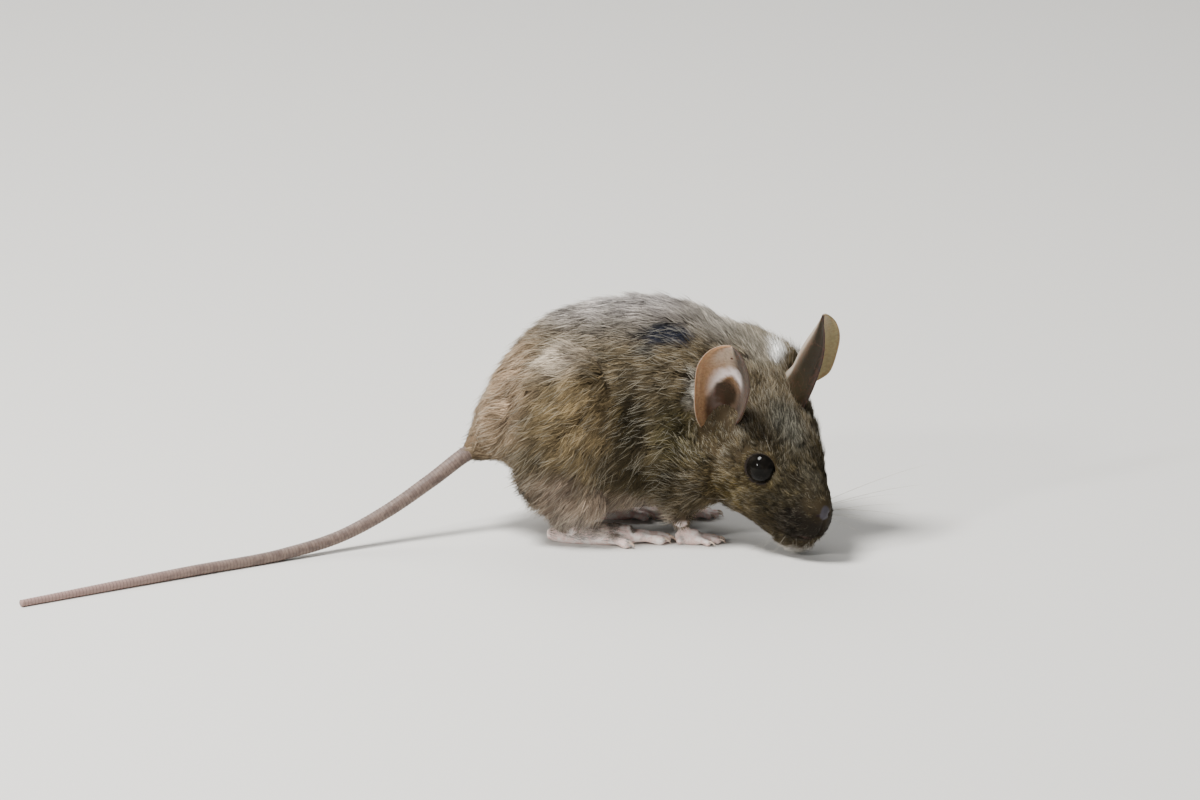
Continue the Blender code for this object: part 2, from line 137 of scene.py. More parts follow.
def ringsAround(centres, side, up, half, top, under, count, square=(1.0, 1.0)):
    # ring point = centre + side * half * cos + up * (top or under) * sin, and powers of the
    # cosine and sine below 1 square off the upper and the under side
    angle = np.arange(count) * 2 * math.pi / count
    c, s = np.cos(angle), np.sin(angle)
    power = np.where(s > 0, square[0], square[1])
    c, s = np.sign(c) * np.abs(c) ** power, np.sign(s) * np.abs(s) ** power
    lift = np.where(s > 0, top[:, None] * s, under[:, None] * -s)
    reach = half[:, None] * c
    side, up = (np.broadcast_to(axis, centres.shape)[:, None] for axis in (side, up))
    return centres[:, None] + reach[..., None] * side + lift[..., None] * up


def gridTriangles(rings, around):
    # two triangles for each square between neighbouring rings, and a fan to a pole at each end
    here = np.arange(rings * around).reshape(rings, around)
    after = np.roll(here, -1, axis=1)
    first, last = np.full(around, rings * around), np.full(around, rings * around + 1)
    parts = [(here[:-1], after[:-1], after[1:]), (here[:-1], after[1:], here[1:]),
             (first, after[0], here[0]), (last, here[-1], after[-1])]
    return np.concatenate([np.stack([corner.ravel() for corner in part], -1) for part in parts])


def closedLoft(rings):
    # one closed surface: the rings and a point at the middle of each end ring, turned to face out
    rings = np.asarray(rings, float)
    points = np.vstack([rings.reshape(-1, 3), rings[0].mean(0), rings[-1].mean(0)])
    triangles = gridTriangles(len(rings), rings.shape[1])
    a, b, c = (points[triangles[:, k]] - points.mean(0) for k in range(3))
    if np.einsum("ij,ij->i", a, np.cross(b, c)).sum() < 0:
        triangles = triangles[:, ::-1]
    return points, triangles


def tubeLoft(line, radius, rings, around, upright=(0.0, 0.0, 1.0), ribs=None):
    # round rings carried along a smooth line; ribs swells each ring by its own share
    line = np.asarray(line, float)
    length = np.append(0, np.cumsum(np.linalg.norm(np.diff(line, axis=0), axis=1)))
    at = np.linspace(0, length[-1], rings)
    centres = smoothThrough(length, line, at)
    size = smoothThrough(length, radius, at)
    size = size if ribs is None else size * ribs(at)
    ahead = unit(np.gradient(centres, axis=0))
    side = unit(np.cross(np.asarray(upright, float), ahead))
    up = np.cross(ahead, side)
    return closedLoft(ringsAround(centres, side, up, size, size, -size, around))


def ballLoft(centre, radii, lean=0.0, rings=24, around=32):
    # an ellipsoid, leaned forward about the Y axis; its end rings stand just off the poles
    offPole = 0.06
    latitude = np.linspace(offPole, math.pi - offPole, rings)
    turn = np.arange(around) * 2 * math.pi / around
    ball = np.stack([np.sin(latitude)[:, None] * np.cos(turn), np.sin(latitude)[:, None] * np.sin(turn),
                     np.cos(latitude)[:, None] * np.ones(around)], -1)
    tilt = np.array(Euler((0, math.radians(lean), 0)).to_matrix())
    return closedLoft((ball * radii) @ tilt.T + centre)


def joined(lofts):
    # several lofts as one: their points in turn, and their triangles counted on
    starts = np.cumsum([0] + [len(points) for points, _ in lofts])
    return (np.vstack([points for points, _ in lofts]),
            np.concatenate([faces + start for (_, faces), start in zip(lofts, starts)]))


def setPoints(mesh, points):
    mesh.vertices.foreach_set("co", ((points + shift) * mm).astype(np.float32).ravel())
    mesh.update()


def readPoints(mesh):
    points = np.empty(len(mesh.vertices) * 3, np.float32)
    mesh.vertices.foreach_get("co", points)
    return points.reshape(-1, 3).astype(float) / mm - shift


def readNormals(mesh):
    normals = np.empty(len(mesh.vertices) * 3, np.float32)
    mesh.vertex_normals.foreach_get("vector", normals)
    return normals.reshape(-1, 3).astype(float)


def makePiece(name, loft, look=None, values=None, uv=None):
    # a mesh object of triangles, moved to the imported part's axes, with its attributes and UV map
    points, triangles = loft
    mesh = bpy.data.meshes.new(name)
    mesh.vertices.add(len(points))
    setPoints(mesh, points)
    mesh.loops.add(triangles.size)
    mesh.loops.foreach_set("vertex_index", triangles.astype(np.int32).ravel())
    mesh.polygons.add(len(triangles))
    mesh.polygons.foreach_set("loop_start", np.arange(0, triangles.size, 3, dtype=np.int32))
    mesh.update(calc_edges=True)
    for key, value in (values or {}).items():
        value = np.asarray(value, np.float32)
        kind, field = ("FLOAT", "value") if value.ndim == 1 else ("FLOAT_VECTOR", "vector")
        mesh.attributes.new(key, kind, "POINT").data.foreach_set(field, value.ravel())
    if uv is not None:
        layer = mesh.uv_layers.new(name="OFBake")
        layer.uv.foreach_set("vector", uv[triangles.ravel()].astype(np.float32).ravel())
    mesh.shade_smooth()
    thing = bpy.data.objects.new(name, mesh)
    bpy.context.scene.collection.objects.link(thing)
    if look is not None:
        mesh.materials.append(look)
    return thing


# Flesh: the same rings as the solids, less the depth of the coat

trunk = {
    "along": (-14.4, -13.2, -10.5, -6.0, 0.0, 6.0, 11.0, 15.0, 18.5),
    "top": (13.0, 16.8, 21.6, 26.0, 28.0, 28.1, 26.6, 24.0, 15.0),
    "under": (12.2, 9.6, 7.4, 3.8, 2.6, 2.6, 3.0, 4.6, 12.0),
    "half": (0.0, 4.6, 7.4, 9.3, 10.1, 9.7, 8.6, 6.6, 0.0),
    "coat": (0.3, 0.9, 1.3, 1.6, 1.7, 1.6, 1.5, 1.4, 1.0),
    "widest": 0.39, "square": (1.12, 0.75), "bellyCoat": 0.8,
}
head = {
    "along": (0.0, 0.7, 2.0, 4.0, 6.5, 9.5, 12.5, 16.0, 20.0, 23.0),
    "top": (-1.2, 0.9, 1.9, 3.0, 4.6, 6.3, 7.8, 8.7, 8.3, 0.0),
    "under": (-1.2, -4.1, -6.2, -7.2, -7.1, -7.2, -7.8, -8.0, -7.0, 0.0),
    "half": (0.0, 1.5, 2.3, 3.2, 4.5, 5.8, 6.8, 7.0, 6.4, 0.0),
    "coat": (0.0, 0.05, 0.12, 0.25, 0.42, 0.62, 0.8, 1.0, 1.2, 0.6),
    "square": (0.84, 0.85),
}
leastHalf = 0.2      # no ring is narrower than this each way
neck = {"line": ((7.0, 0.3, 15.5), (11.5, 0.9, 15.5), (14.8, 0.0, 14.6), (17.2, -4.0, 12.0)),
        "radius": (8.6, 7.9, 7.4, 6.2), "coat": 1.4}
swell = {
    "ruff": ((9.6, -5.3, 9.2), (5.0, 3.5, 4.8)),
    "nape": ((11.0, 0.8, 19.4), (15.0, 1.4, 17.6), (18.6, 2.0, 15.4)), "napeRadius": (4.4, 5.0, 4.7),
    "tailRoot": ((-11.2, 0.2, 12.2), (-14.0, -0.3, 10.5), (-16.4, -1.15, 9.15)),
    "tailRootRadius": (4.2, 2.3, 0.9),
}
legs = {
    "haunch": ((-4.4, 6.4, 13.4), (6.6, 4.4, 10.2)), "haunchLean": 8.0, "haunchCoat": 1.1,
    "shoulder": ((7.6, 6.2, 11.0), (4.6, 4.2, 7.4)), "shoulderLean": -6.0, "shoulderCoat": 1.3,
    "shank": ((-1.0, 6.3, 7.0), (-3.2, 6.2, 4.7), (-5.8, 5.6, 2.5)), "shankRadius": (2.2, 1.9, 1.2),
    "forearm": ((7.4, 6.2, 7.0), (7.8, 5.8, 4.4), (8.3, 5.6, 1.9)), "forearmRadius": (1.8, 1.3, 0.8),
}
feet = {
    # toes: place across the sole, turn outward, share of the toe's length, and root set back;
    # pads: shares of the sole's length and of its half width
    "hind": {"heel": (-7.0, 5.4, 0.0), "length": 9.6, "width": 3.2, "height": 2.9,
             "toe": 4.4, "toeRadius": 0.56,
             "pads": ((0.62, -0.5), (0.7, 0.45), (0.84, -0.62), (0.9, 0.0), (0.84, 0.62)),
             "toes": ((-0.62, -13, 0.8, 1.4), (-0.32, -4, 0.98, 0.3), (0.0, 1, 1.0, 0.0),
                      (0.34, 6, 0.95, 0.4), (0.7, 30, 0.72, 3.0))},
    "fore": {"heel": (7.5, 5.6, 0.0), "length": 2.7, "width": 2.5, "height": 2.2,
             "toe": 2.5, "toeRadius": 0.42,
             "pads": ((0.2, -0.5), (0.2, 0.5), (0.75, -0.45), (0.75, 0.45)),
             "toes": ((-0.55, -18, 0.85, 0.4), (-0.2, -5, 1.0, 0.0), (0.2, 8, 1.0, 0.0),
                      (0.6, 26, 0.8, 0.5))},
}
pad = {"radius": 0.5, "height": 0.42}
# along a sole: its middle's height and how that falls, its width at the heel, its waist before the
# toes, and its thickness and how that falls, as shares of the foot's measures
sole = {"middle": 0.35, "falls": 0.35, "heelWidth": 0.45, "waist": 0.2, "thick": 0.62, "thins": 0.16}
# along a toe: share of its length, and height and thickness in its own radii
toeShape = ((-0.25, 0.9, 1.1), (0.1, 1.2, 1.05), (0.32, 1.45, 1.08), (0.5, 1.3, 0.9), (0.68, 1.1, 0.88),
            (0.84, 0.9, 1.05), (0.97, 0.8, 0.85), (1.03, 0.75, 0.4))
# along a claw: distance, height and thickness in the toe's radii, from a share of the toe's length
clawShape = ((-0.3, 1.15, 0.3), (0.5, 1.3, 0.32), (1.2, 1.0, 0.22), (1.7, 0.35, 0.05))
clawFrom = 0.93


def profile(shape, rings, offFirst, offLast):
    # the place along and the four measures of each ring; the rings crowd toward both ends:
    # place = first + (last - first) * (1 - cos(angle)) / 2
    first, last = shape["along"][0], shape["along"][-1]
    stations = np.arccos(np.clip(1 - 2 * (np.array(shape["along"]) - first) / (last - first), -1, 1))
    at = np.linspace(offFirst, math.pi - offLast, rings)
    place = first + (last - first) * (1 - np.cos(at)) / 2
    return place, *(smoothThrough(stations, shape[key], at) for key in ("top", "under", "half", "coat"))


def trunkLoft(rings=60, around=72):
    # upright rings along X, widest below the middle
    x, top, under, half, coat = profile(trunk, rings, 0.09, 0.09)
    widest = under + trunk["widest"] * (top - under)
    centres = np.stack([x, 0 * x, widest], -1)
    belly = under - widest + trunk["bellyCoat"] * coat
    return closedLoft(ringsAround(centres, (0, 1, 0), (0, 0, 1), np.maximum(half - coat, leastHalf),
                                  top - widest - coat, belly, around, trunk["square"]))


def headLoft(rings=72, around=72):
    # rings along the head's own axis, from the nose back
    forward, left, up = headAxes()
    behind, top, under, half, coat = profile(head, rings, 0.05, 0.09)
    middle = (top + under) / 2
    centres = np.array(headPose["nose"]) - behind[:, None] * forward + middle[:, None] * up
    return closedLoft(ringsAround(centres, left, up, np.maximum(half - coat, leastHalf),
                                  top - middle - coat, under - middle + coat, around, head["square"]))


def toeAims(side, foot):
    # for each toe: where it leaves the sole, the way it points, and its length
    ahead, across = np.array((1.0, 0.0, 0.0)), np.array((0.0, side, 0.0))
    for place, turn, share, back in foot["toes"]:
        way = math.radians(turn)
        root = onSide(foot["heel"], side) + ahead * (foot["length"] - back)
        root = root + across * place * foot["width"] / 2
        yield root, ahead * math.cos(way) + across * math.sin(way), foot["toe"] * share


def footLofts(side, foot, rings=24):
    # a flat sole from the heel to the toe roots, a bent tube with a knuckle and a swollen tip for
    # each toe, and small round pads under the sole
    length, width, height = foot["length"], foot["width"], foot["height"]
    ahead, across, up = (np.array(axis, float) for axis in ((1, 0, 0), (0, side, 0), (0, 0, 1)))
    heel = onSide(foot["heel"], side)
    along = np.linspace(0, 1, rings)
    centres = heel + along[:, None] * length * ahead
    centres[:, 2] = sole["middle"] * height * (1 - sole["falls"] * along)
    rounded = np.sin(np.clip(along * 1.25 + 0.22, 0, 1) * math.pi / 2)
    half = width / 2 * (sole["heelWidth"] + (1 - sole["heelWidth"]) * along)
    half = half * (1 - sole["waist"] * smoothStep(along, 0.88, 0.96)) * rounded
    tall = height * (sole["thick"] - sole["thins"] * along) * rounded
    lofts = [closedLoft(ringsAround(centres, across, up, half, tall, -tall, 28))]
    radius = foot["toeRadius"]
    for root, aim, reach in toeAims(side, foot):
        line = [root + aim * reach * share + up * z * radius for share, z, _ in toeShape]
        lofts.append(tubeLoft(line, [radius * thick for _, _, thick in toeShape], 34, 18))
    for place, sideways in foot["pads"]:
        at = heel + ahead * place * length + across * sideways * width / 2 + up * pad["height"]
        lofts.append(ballLoft(at, np.full(3, pad["radius"]), rings=8, around=12))
    return lofts


def skinLofts():
    # the overlapping closed shapes that become one skin
    lofts = [trunkLoft(), headLoft(),
             tubeLoft(neck["line"], [r - neck["coat"] for r in neck["radius"]], 30, 60),
             tubeLoft(swell["tailRoot"], swell["tailRootRadius"], 20, 36),
             tubeLoft(swell["nape"], swell["napeRadius"], 24, 36), ballLoft(*swell["ruff"])]
    for side in sides:
        for part in ("haunch", "shoulder"):
            centre, radii = legs[part]
            lofts.append(ballLoft(onSide(centre, side), np.array(radii) - legs[part + "Coat"],
                                  legs[part + "Lean"], 36, 48))
        for part, upright in (("shank", (1, 0, 0.3)), ("forearm", (1, 0, 0))):
            line = [onSide(place, side) for place in legs[part]]
            lofts.append(tubeLoft(line, legs[part + "Radius"], 24, 32, upright))
        for foot in feet.values():
            lofts += footLofts(side, foot)
    return lofts


skin = {
    # size of its squares; heights and lengths between which its fine forms begin; and the passes
    # and strengths of relaxing: all over, where the lofts join, on the face, and after the carving
    "square": 0.215, "footTop": (3.2, 2.2), "feetEnd": 14.0, "faceEnd": (9, 5),
    "allOver": (3, 0.5), "joins": (70, 0.5), "fine": (5, 0.4), "carved": (1, 0.35),
}


def neighbours(mesh):
    # each edge both ways: the vertex here, and its neighbour there
    edges = np.empty(len(mesh.edges) * 2, np.int32)
    mesh.edges.foreach_get("vertices", edges)
    a, b = edges[0::2], edges[1::2]
    return np.concatenate([a, b]), np.concatenate([b, a])


def relaxed(values, near, passes, amount=0.5):
    # each pass moves a vertex's values toward the mean of its neighbours' values, by its amount
    here, there = near
    count = np.bincount(here, minlength=len(values))
    amount = np.broadcast_to(amount, (len(values),))[:, None]
    for _ in range(passes):
        sums = [np.bincount(here, values[there, k], len(values)) for k in range(values.shape[1])]
        values = values + amount * (np.stack(sums, -1) / count[:, None] - values)
    return values


def skinMesh():
    # the lofts made one skin of small squares, relaxed where they join, then carved
    rough = makePiece("skin", joined(skinLofts()))
    remesh = rough.modifiers.new("oneSkin", "REMESH")
    remesh.mode = "VOXEL"
    remesh.voxel_size = skin["square"] * mm
    graph = bpy.context.evaluated_depsgraph_get()
    mesh = bpy.data.meshes.new_from_object(rough.evaluated_get(graph))
    bpy.data.objects.remove(rough, do_unlink=True)
    near = neighbours(mesh)
    points = readPoints(mesh)
    foot = smoothStep(points[:, 2], *skin["footTop"]) * (points[:, 0] < skin["feetEnd"])
    fine = np.maximum(foot, smoothStep(headPlace(points)[0], *skin["faceEnd"]))
    for key, where in (("allOver", 1), ("joins", 1 - fine), ("fine", fine * (1 - foot))):
        passes, strength = skin[key]
        points = relaxed(points, near, passes, strength * where)
    setPoints(mesh, points)
    points = relaxed(carveFace(points, readNormals(mesh)), near, *skin["carved"])
    points[:, 2] = np.maximum(points[:, 2], floorGap)
    setPoints(mesh, points)
    mesh.shade_smooth()
    return mesh, points, near


face = {
    # soft spots: place (behind the nose, out, above), radii, and how far they stand out
    "spots": {
        "whiskerPad": ((2.9, 2.3, -2.7), (2.0, 1.5, 1.6), 0.3),
        "nosePad": ((0.4, 0.0, -0.3), (0.9, 1.0, 0.9), 0.16),
        "cheek": ((7.5, 4.4, -3.4), (2.6, 1.6, 2.0), 0.35),
        "brow": ((7.6, 3.2, 3.9), (2.4, 1.2, 1.0), 0.3),
        "nostril": ((0.4, 0.72, -0.75), (0.6, 0.28, 0.24), -0.4),
        "nostrilSlit": ((0.9, 1.05, -0.45), (0.5, 0.24, 0.2), -0.2),
    },
    # the grooves: depth, width, and the places between which they fade out
    "philtrum": {"depth": 0.22, "width": 0.22, "back": (2.0, 1.2), "top": (-0.9, -1.3),
                 "foot": (-4.6, -3.9)},
    "mouth": {"depth": 0.34, "width": 0.2, "back": (6.4, 5.2), "corner": (5.0, 4.0)},
    "jaw": {"back": 0.35, "narrow": 0.1, "top": (-3.9, -4.7), "end": (4.5, 1.0)},
    "end": (14.0, 11.0),
}
lids = {
    # degrees from the eye's axis: the rim, and from it where the skin is hidden, swells and eases off
    "rim": 59.0, "hidden": (2, -7), "swellAt": 9, "swellWidth": 8, "raisedTo": 30, "ease": (34, 4),
    # millimetres: the lid's gap to the ball, its swell, the slope beyond it, the depth of what is
    # hidden, and the distance from the eye's centre where all of it fades out
    "gap": 0.07, "swell": 0.16, "beyond": 0.12, "slope": 0.012, "depth": 0.5, "end": (3.4, 2.4),
}


def patch(points, centre, radii):
    # a soft ellipsoidal spot: exp(-distance^2), with the distance measured in radii
    return np.exp(-(((points - centre) / radii) ** 2).sum(-1))


def groove(distance, width):
    # a soft band: exp(-distance^2), with the distance measured in widths
    return np.exp(-(distance / width) ** 2)


def lipLine(behind):
    # height of the mouth's line: level under the nose, then down and back to the corner
    return -3.75 - 0.55 * smoothStep(behind, 0.6, 3.0) + 0.12 * np.maximum(behind - 3.5, 0)


def carveFace(points, normals):
    # soft spots pushed out or in along the normals: pads, nostrils, the split of the lip, the mouth
    behind, out, above = headPlace(points)
    folded = faceFolded(points)
    push = sum(height * patch(folded, centre, radii) for centre, radii, height in face["spots"].values())
    split, mouth, jaw = face["philtrum"], face["mouth"], face["jaw"]
    push -= (split["depth"] * groove(out, split["width"]) * smoothStep(behind, *split["back"])
             * smoothStep(above, *split["top"]) * smoothStep(above, *split["foot"]))
    push -= (mouth["depth"] * groove(above - lipLine(behind), mouth["width"])
             * smoothStep(behind, *mouth["back"]) * smoothStep(np.abs(out), *mouth["corner"]))
    points = points + normals * (push * smoothStep(behind, *face["end"]))[:, None]
    # the lower jaw is set back and drawn in
    behind, out, above = headPlace(points)
    under = smoothStep(above, *jaw["top"]) * smoothStep(behind, *jaw["end"])
    forward, left, _ = headAxes()
    points = points - forward * (jaw["back"] * under)[:, None]
    points = points - left * (jaw["narrow"] * out * under)[:, None]
    for side in sides:
        points = openEye(points, side)
    return points


def openEye(points, side):
    # round each eyeball the skin is set by its angle from the eye's axis: inside the rim it is
    # drawn in behind the ball, at the rim it stands as a lid, and beyond it meets the face
    away, reach = fromEye(points, side)
    angle = np.degrees(np.arccos(np.clip(away @ eyeAxis(side) / np.maximum(reach, 1e-6), -1, 1)))
    past = angle - lids["rim"]
    lid = eyeball["radius"] + lids["gap"]
    lid = lid + lids["swell"] * groove(past - lids["swellAt"], lids["swellWidth"])
    wanted = np.where(past < lids["raisedTo"], np.maximum(reach, lid), reach)
    ease = smoothStep(past, *lids["ease"])
    wanted = wanted * (1 - ease) + ease * np.clip(wanted, lid, lid + lids["beyond"] + past * lids["slope"])
    hidden = smoothStep(past, *lids["hidden"])
    wanted = wanted * (1 - hidden) + (eyeball["radius"] - lids["depth"]) * hidden
    near = smoothStep(reach, *lids["end"])[:, None]
    return points + near * (eyeCentre(side) + unit(away) * wanted[:, None] - points)


def fromEye(points, side):
    away = points - eyeCentre(side)
    return away, np.linalg.norm(away, axis=1)


# Ears, tail, eyes, claws

ear = {
    "root": {-1: (14.7, 4.7, 5.4), 1: (15.2, 4.5, 6.9)},
    "rise": {-1: (0.14, 0.2, 0.97), 1: (0.18, 0.29, 0.97)},
    "height": 9.2, "width": 7.1, "thickness": 0.34, "widest": 0.56, "lean": 0.12, "setBack": 0.9,
    "sunk": {-1: 2.6, 1: 2.8}, "opensForward": {-1: 0.46, 1: 1.3},
    "footOut": {-1: 0.9, 1: 0.0}, "footIn": {-1: 0.0, 1: 1.6},
    # at these shares of the height, the share of the width and how far the section is bent, in degrees
    "share": (0.0, 0.15, 0.35, 0.6, 0.82, 0.94, 1.0),
    "across": {-1: (0.4, 0.62, 0.88, 1.0, 1.0, 1.0, 1.0), 1: (0.92, 1.05, 1.12, 1.02, 0.93, 0.88, 0.84)},
    "bend": {-1: (104.0, 96.0, 80.0, 64.0, 54.0, 48.0, 42.0), 1: (92.0, 90.0, 88.0, 84.0, 78.0, 70.0, 58.0)},
    "ripple": 0.1, "ridge": 0.22, "ridgeAt": (0.33, 0.15), "ridgeRadii": (0.14, 0.3),
    "roll": 0.34, "rimThinner": 0.72,
}
tail = {
    "line": ((-12.0, 0.3, 11.0), (-15.5, -0.8, 9.5), (-20.0, -3.0, 6.6), (-25.0, -5.8, 3.7),
             (-30.0, -8.9, 1.7), (-36.0, -12.8, 0.75), (-46.0, -19.4, 0.6), (-63.5, -31.5, 0.4)),
    "radius": (1.0, 0.9, 0.82, 0.76, 0.7, 0.66, 0.6, 0.38), "ringLength": 0.42, "ringDepth": 0.05,
}


def earFrame(side):
    # the ear's own directions, up it, out of its opening and across it, and the place of its root
    forward, left, up = headAxes()
    out = left * side
    ahead, outward, upward = ear["rise"][side]
    rise = unit(up * upward + out * outward + forward * ahead)
    opens = out + forward * ear["opensForward"][side]
    opens = unit(opens - rise * opens.dot(rise))
    behind, outward, above = ear["root"][side]
    return rise, opens, np.cross(opens, rise), inHead(behind, side * outward, above)


def earLoft(side, rings=70, around=57):
    # a scoop: at each height its section is a band bent round the hollow, closed to a funnel low
    # down, with a rolled front rim, a ridge inside and a lobe where the front rim meets the head
    rise, opens, sweep, root = earFrame(side)
    toFront = np.sign(sweep @ headAxes()[0])
    share = (1 - np.cos(np.linspace(0.05, math.pi - 0.1, rings))) / 2
    height = ear["height"] * share - ear["sunk"][side] * (1 - share) ** 2
    top = np.clip((share - ear["widest"]) / (1 - ear["widest"]), 0, 1)
    chord = smoothThrough(ear["share"], ear["across"][side], share) * np.sqrt(1 - top ** 2.1)
    chord = chord * ear["width"] / 2
    bend = np.radians(smoothThrough(ear["share"], ear["bend"][side], share))
    hollow = (chord / np.sin(np.minimum(bend, math.pi / 2)))[:, None]
    across, tall = np.linspace(-1, 1, around)[None, :], share[:, None]
    front, flat = across * toFront, 0 * across + 0 * tall
    ripple = ear["ripple"] * np.sin(9 * tall + 2.2 * across) * tall
    ripple = ripple + ear["ridge"] * patch(np.stack([tall + flat, front + flat], -1), ear["ridgeAt"],
                                           ear["ridgeRadii"])
    roll = ear["roll"] * smoothStep(np.abs(across), 0.78, 1.0) * smoothStep(tall, 0.1, 0.4)
    rim = 1 - ear["rimThinner"] * smoothStep(np.abs(across), 0.8, 1.0)
    rearward = ear["lean"] * ear["width"] / 2 * toFront * (1 - smoothStep(tall, 0.0, 0.5))
    lobe = ear["footOut"][side] * np.clip(front * 1.4, -1, 1) * (1 - smoothStep(tall, 0.0, 0.4))
    lobe = lobe + ear["footIn"][side] * (0.5 - 0.5 * front) * (1 - smoothStep(tall, 0.0, 0.34))
    faces = []
    for outward in (0.5, -0.5):
        reach = hollow + outward * ear["thickness"] * rim * (1.5 - 0.7 * tall) - ripple
        sweepBy = reach * np.sin(across * bend[:, None]) * (1 - 0.06 * roll) - rearward
        openBy = hollow - reach * np.cos(across * bend[:, None]) - ear["setBack"] - roll * 0.55 - lobe
        faces.append(root + height[:, None, None] * rise + sweepBy[..., None] * sweep
                     + openBy[..., None] * opens)
    outer, inner = faces

    # values for the colours: height, place from the rear to the front rim, inner or outer face
    def onFaces(outside, inside):
        grid = np.concatenate([outside + flat, inside + flat], 1).ravel()
        return np.append(grid, [grid[0], grid[-1]])
    values = {"earHeight": onFaces(tall, tall), "earFront": onFaces(front, front[:, ::-1]),
              "earInside": onFaces(0, 1)}
    return closedLoft(np.concatenate([outer, inner[:, ::-1]], 1)), values


def tailLoft(rings=720, around=20):
    # a tapering round tail whose skin is ringed: each ring swells slowly and drops back fast
    def ribs(at):
        phase = (at / tail["ringLength"]) % 1
        return 1 + tail["ringDepth"] * (smoothStep(phase, 0, 0.75) * smoothStep(phase, 1.0, 0.78) - 0.5)
    points, triangles = tubeLoft(tail["line"], tail["radius"], rings, around, ribs=ribs)
    points[:, 2] = np.maximum(points[:, 2], floorGap)
    along = np.append(np.repeat(np.linspace(0, 1, rings), around), [0, 1])
    return (points, triangles), {"along": along}


def eyeLoft(side, rings=40, around=56):
    # a ball with a slightly steeper cornea in front
    axis = eyeAxis(side)
    across = unit(np.cross(headAxes()[2], axis))
    upright = np.cross(axis, across)
    offPole = 0.02
    latitude = np.linspace(offPole, math.pi - offPole, rings)
    radius = eyeball["radius"] + eyeball["cornea"] * groove(latitude, eyeball["corneaWidth"])
    centres = eyeCentre(side) + (radius * np.cos(latitude))[:, None] * axis
    half = radius * np.sin(latitude)
    return closedLoft(ringsAround(centres, across, upright, half, half, -half, around))


def clawLofts():
    # a small hooked cone on each toe: out of the toe's tip, up a little, then down to the floor
    lofts = []
    for side in sides:
        for foot in feet.values():
            radius = foot["toeRadius"]
            for root, aim, reach in toeAims(side, foot):
                tip = root + aim * reach * clawFrom
                line = [tip + aim * f * radius + np.array([0, 0, z * radius]) for f, z, _ in clawShape]
                lofts.append(tubeLoft(line, [radius * thick for _, _, thick in clawShape], 14, 8))
    return joined(lofts)


# Coat: short solid tufts rooted on the skin, thin at both ends, bent over to follow the body

middleLine = [inHead(0, 0, -1.2), inHead(4, 0, -1.6), inHead(9, 0, -0.8), inHead(14, 0, -0.2),
              (14.2, -0.9, 13.4), (10.5, 0.3, 14.4), (5, 0.2, 14.2), (0, 0, 13.8), (-6, 0, 13.0),
              (-11, 0, 12.4), (-14.4, 0, 12.0)]
coat = {
    # stations along the middle line from the nose, and the tufts' values there
    "station": (0, 2, 4, 7, 10, 14, 19, 26, 34, 44, 50),
    "length": (0.6, 0.95, 1.25, 1.6, 1.95, 2.4, 2.8, 3.1, 3.25, 3.25, 3.0),
    "width": (0.046, 0.048, 0.05, 0.053, 0.056, 0.062, 0.07, 0.076, 0.078, 0.078, 0.078),
    "lift": (14, 20, 24, 25, 25, 26, 27, 27, 27, 26, 23),
    "perSquare": (150, 150, 145, 134, 122, 104, 88, 80, 78, 78, 80),
    "clump": (0.1, 0.28, 0.36, 0.42, 0.46, 0.54, 0.64, 0.7, 0.7, 0.7, 0.6),
    "guard": (0.04, 0.06, 0.08, 0.1, 0.14, 0.13, 0.09, 0.06, 0.06, 0.06, 0.05),
    # value, region and share: the value is multiplied by 1 + share * region
    "changes": (("length", "tailRoot", -0.5), ("lift", "tailBase", -0.6), ("length", "short", -1.0),
                ("width", "short", -0.45), ("clump", "smooth", -1.0), ("lift", "short", -0.55),
                ("perSquare", "short", 0.25), ("length", "belly", -0.35), ("length", "crown", 0.1)),
    # value, region and what is added there
    "additions": (("lift", "crown", 5), ("length", "lips", 0.7), ("lift", "lips", 30),
                  ("lift", "behindEar", 10)),
    # by side: how much shorter and finer the hair is round the eye, and shorter round the ear, its
    # lift by the ear, and how strongly it lies up the ear
    "shorterByEye": {-1: 0.55, 1: 0.15}, "finerByEye": 0.3, "shorterByEar": {-1: 0.7, 1: -0.25},
    "liftByEar": {-1: -8, 1: 10}, "upTheEar": {-1: 0.9, 1: 1.6},
    # depth of a root under the skin, droop and curl as shares of the length, spread of the lie in
    # degrees, and the same for whole clumps, which also share their lift and sway
    "rooted": 0.12, "droop": 0.52, "curl": 0.1, "turn": 8.0, "floorGap": 0.03,
    "clumpSize": {"head": 0.6, "body": 1.35}, "clumpTurn": 20.0, "clumpLift": 0.4, "sway": 0.3,
    # ways the hair lies: on the low legs and the feet; up and outward over the crown, and down the
    # cheek; and how strongly it parts round an eye, from how far, over what width, and round an ear
    "legWay": (-0.45, 0, -0.9), "footWay": (1.0, 0, 0), "crownUp": 0.7, "crownOut": 0.35, "cheekDown": 0.2,
    "eyeParting": 1.5, "eyeFrom": 1.6, "eyeWidth": 1.5, "earWidth": 3.4, "evened": 110,
    # the normals' lean toward the skin's on the body, and how much less it is on the head
    "softness": 0.65, "headFirmer": 0.35,
    # pieces, by the distance from the nose at which each ends
    "pieces": {"muzzle": 7, "face": 13, "crown": 18, "nape": 23, "neck": 28, "shoulder": 32, "flank": 36,
               "side": 40, "haunch": 44, "rump": 90},
}


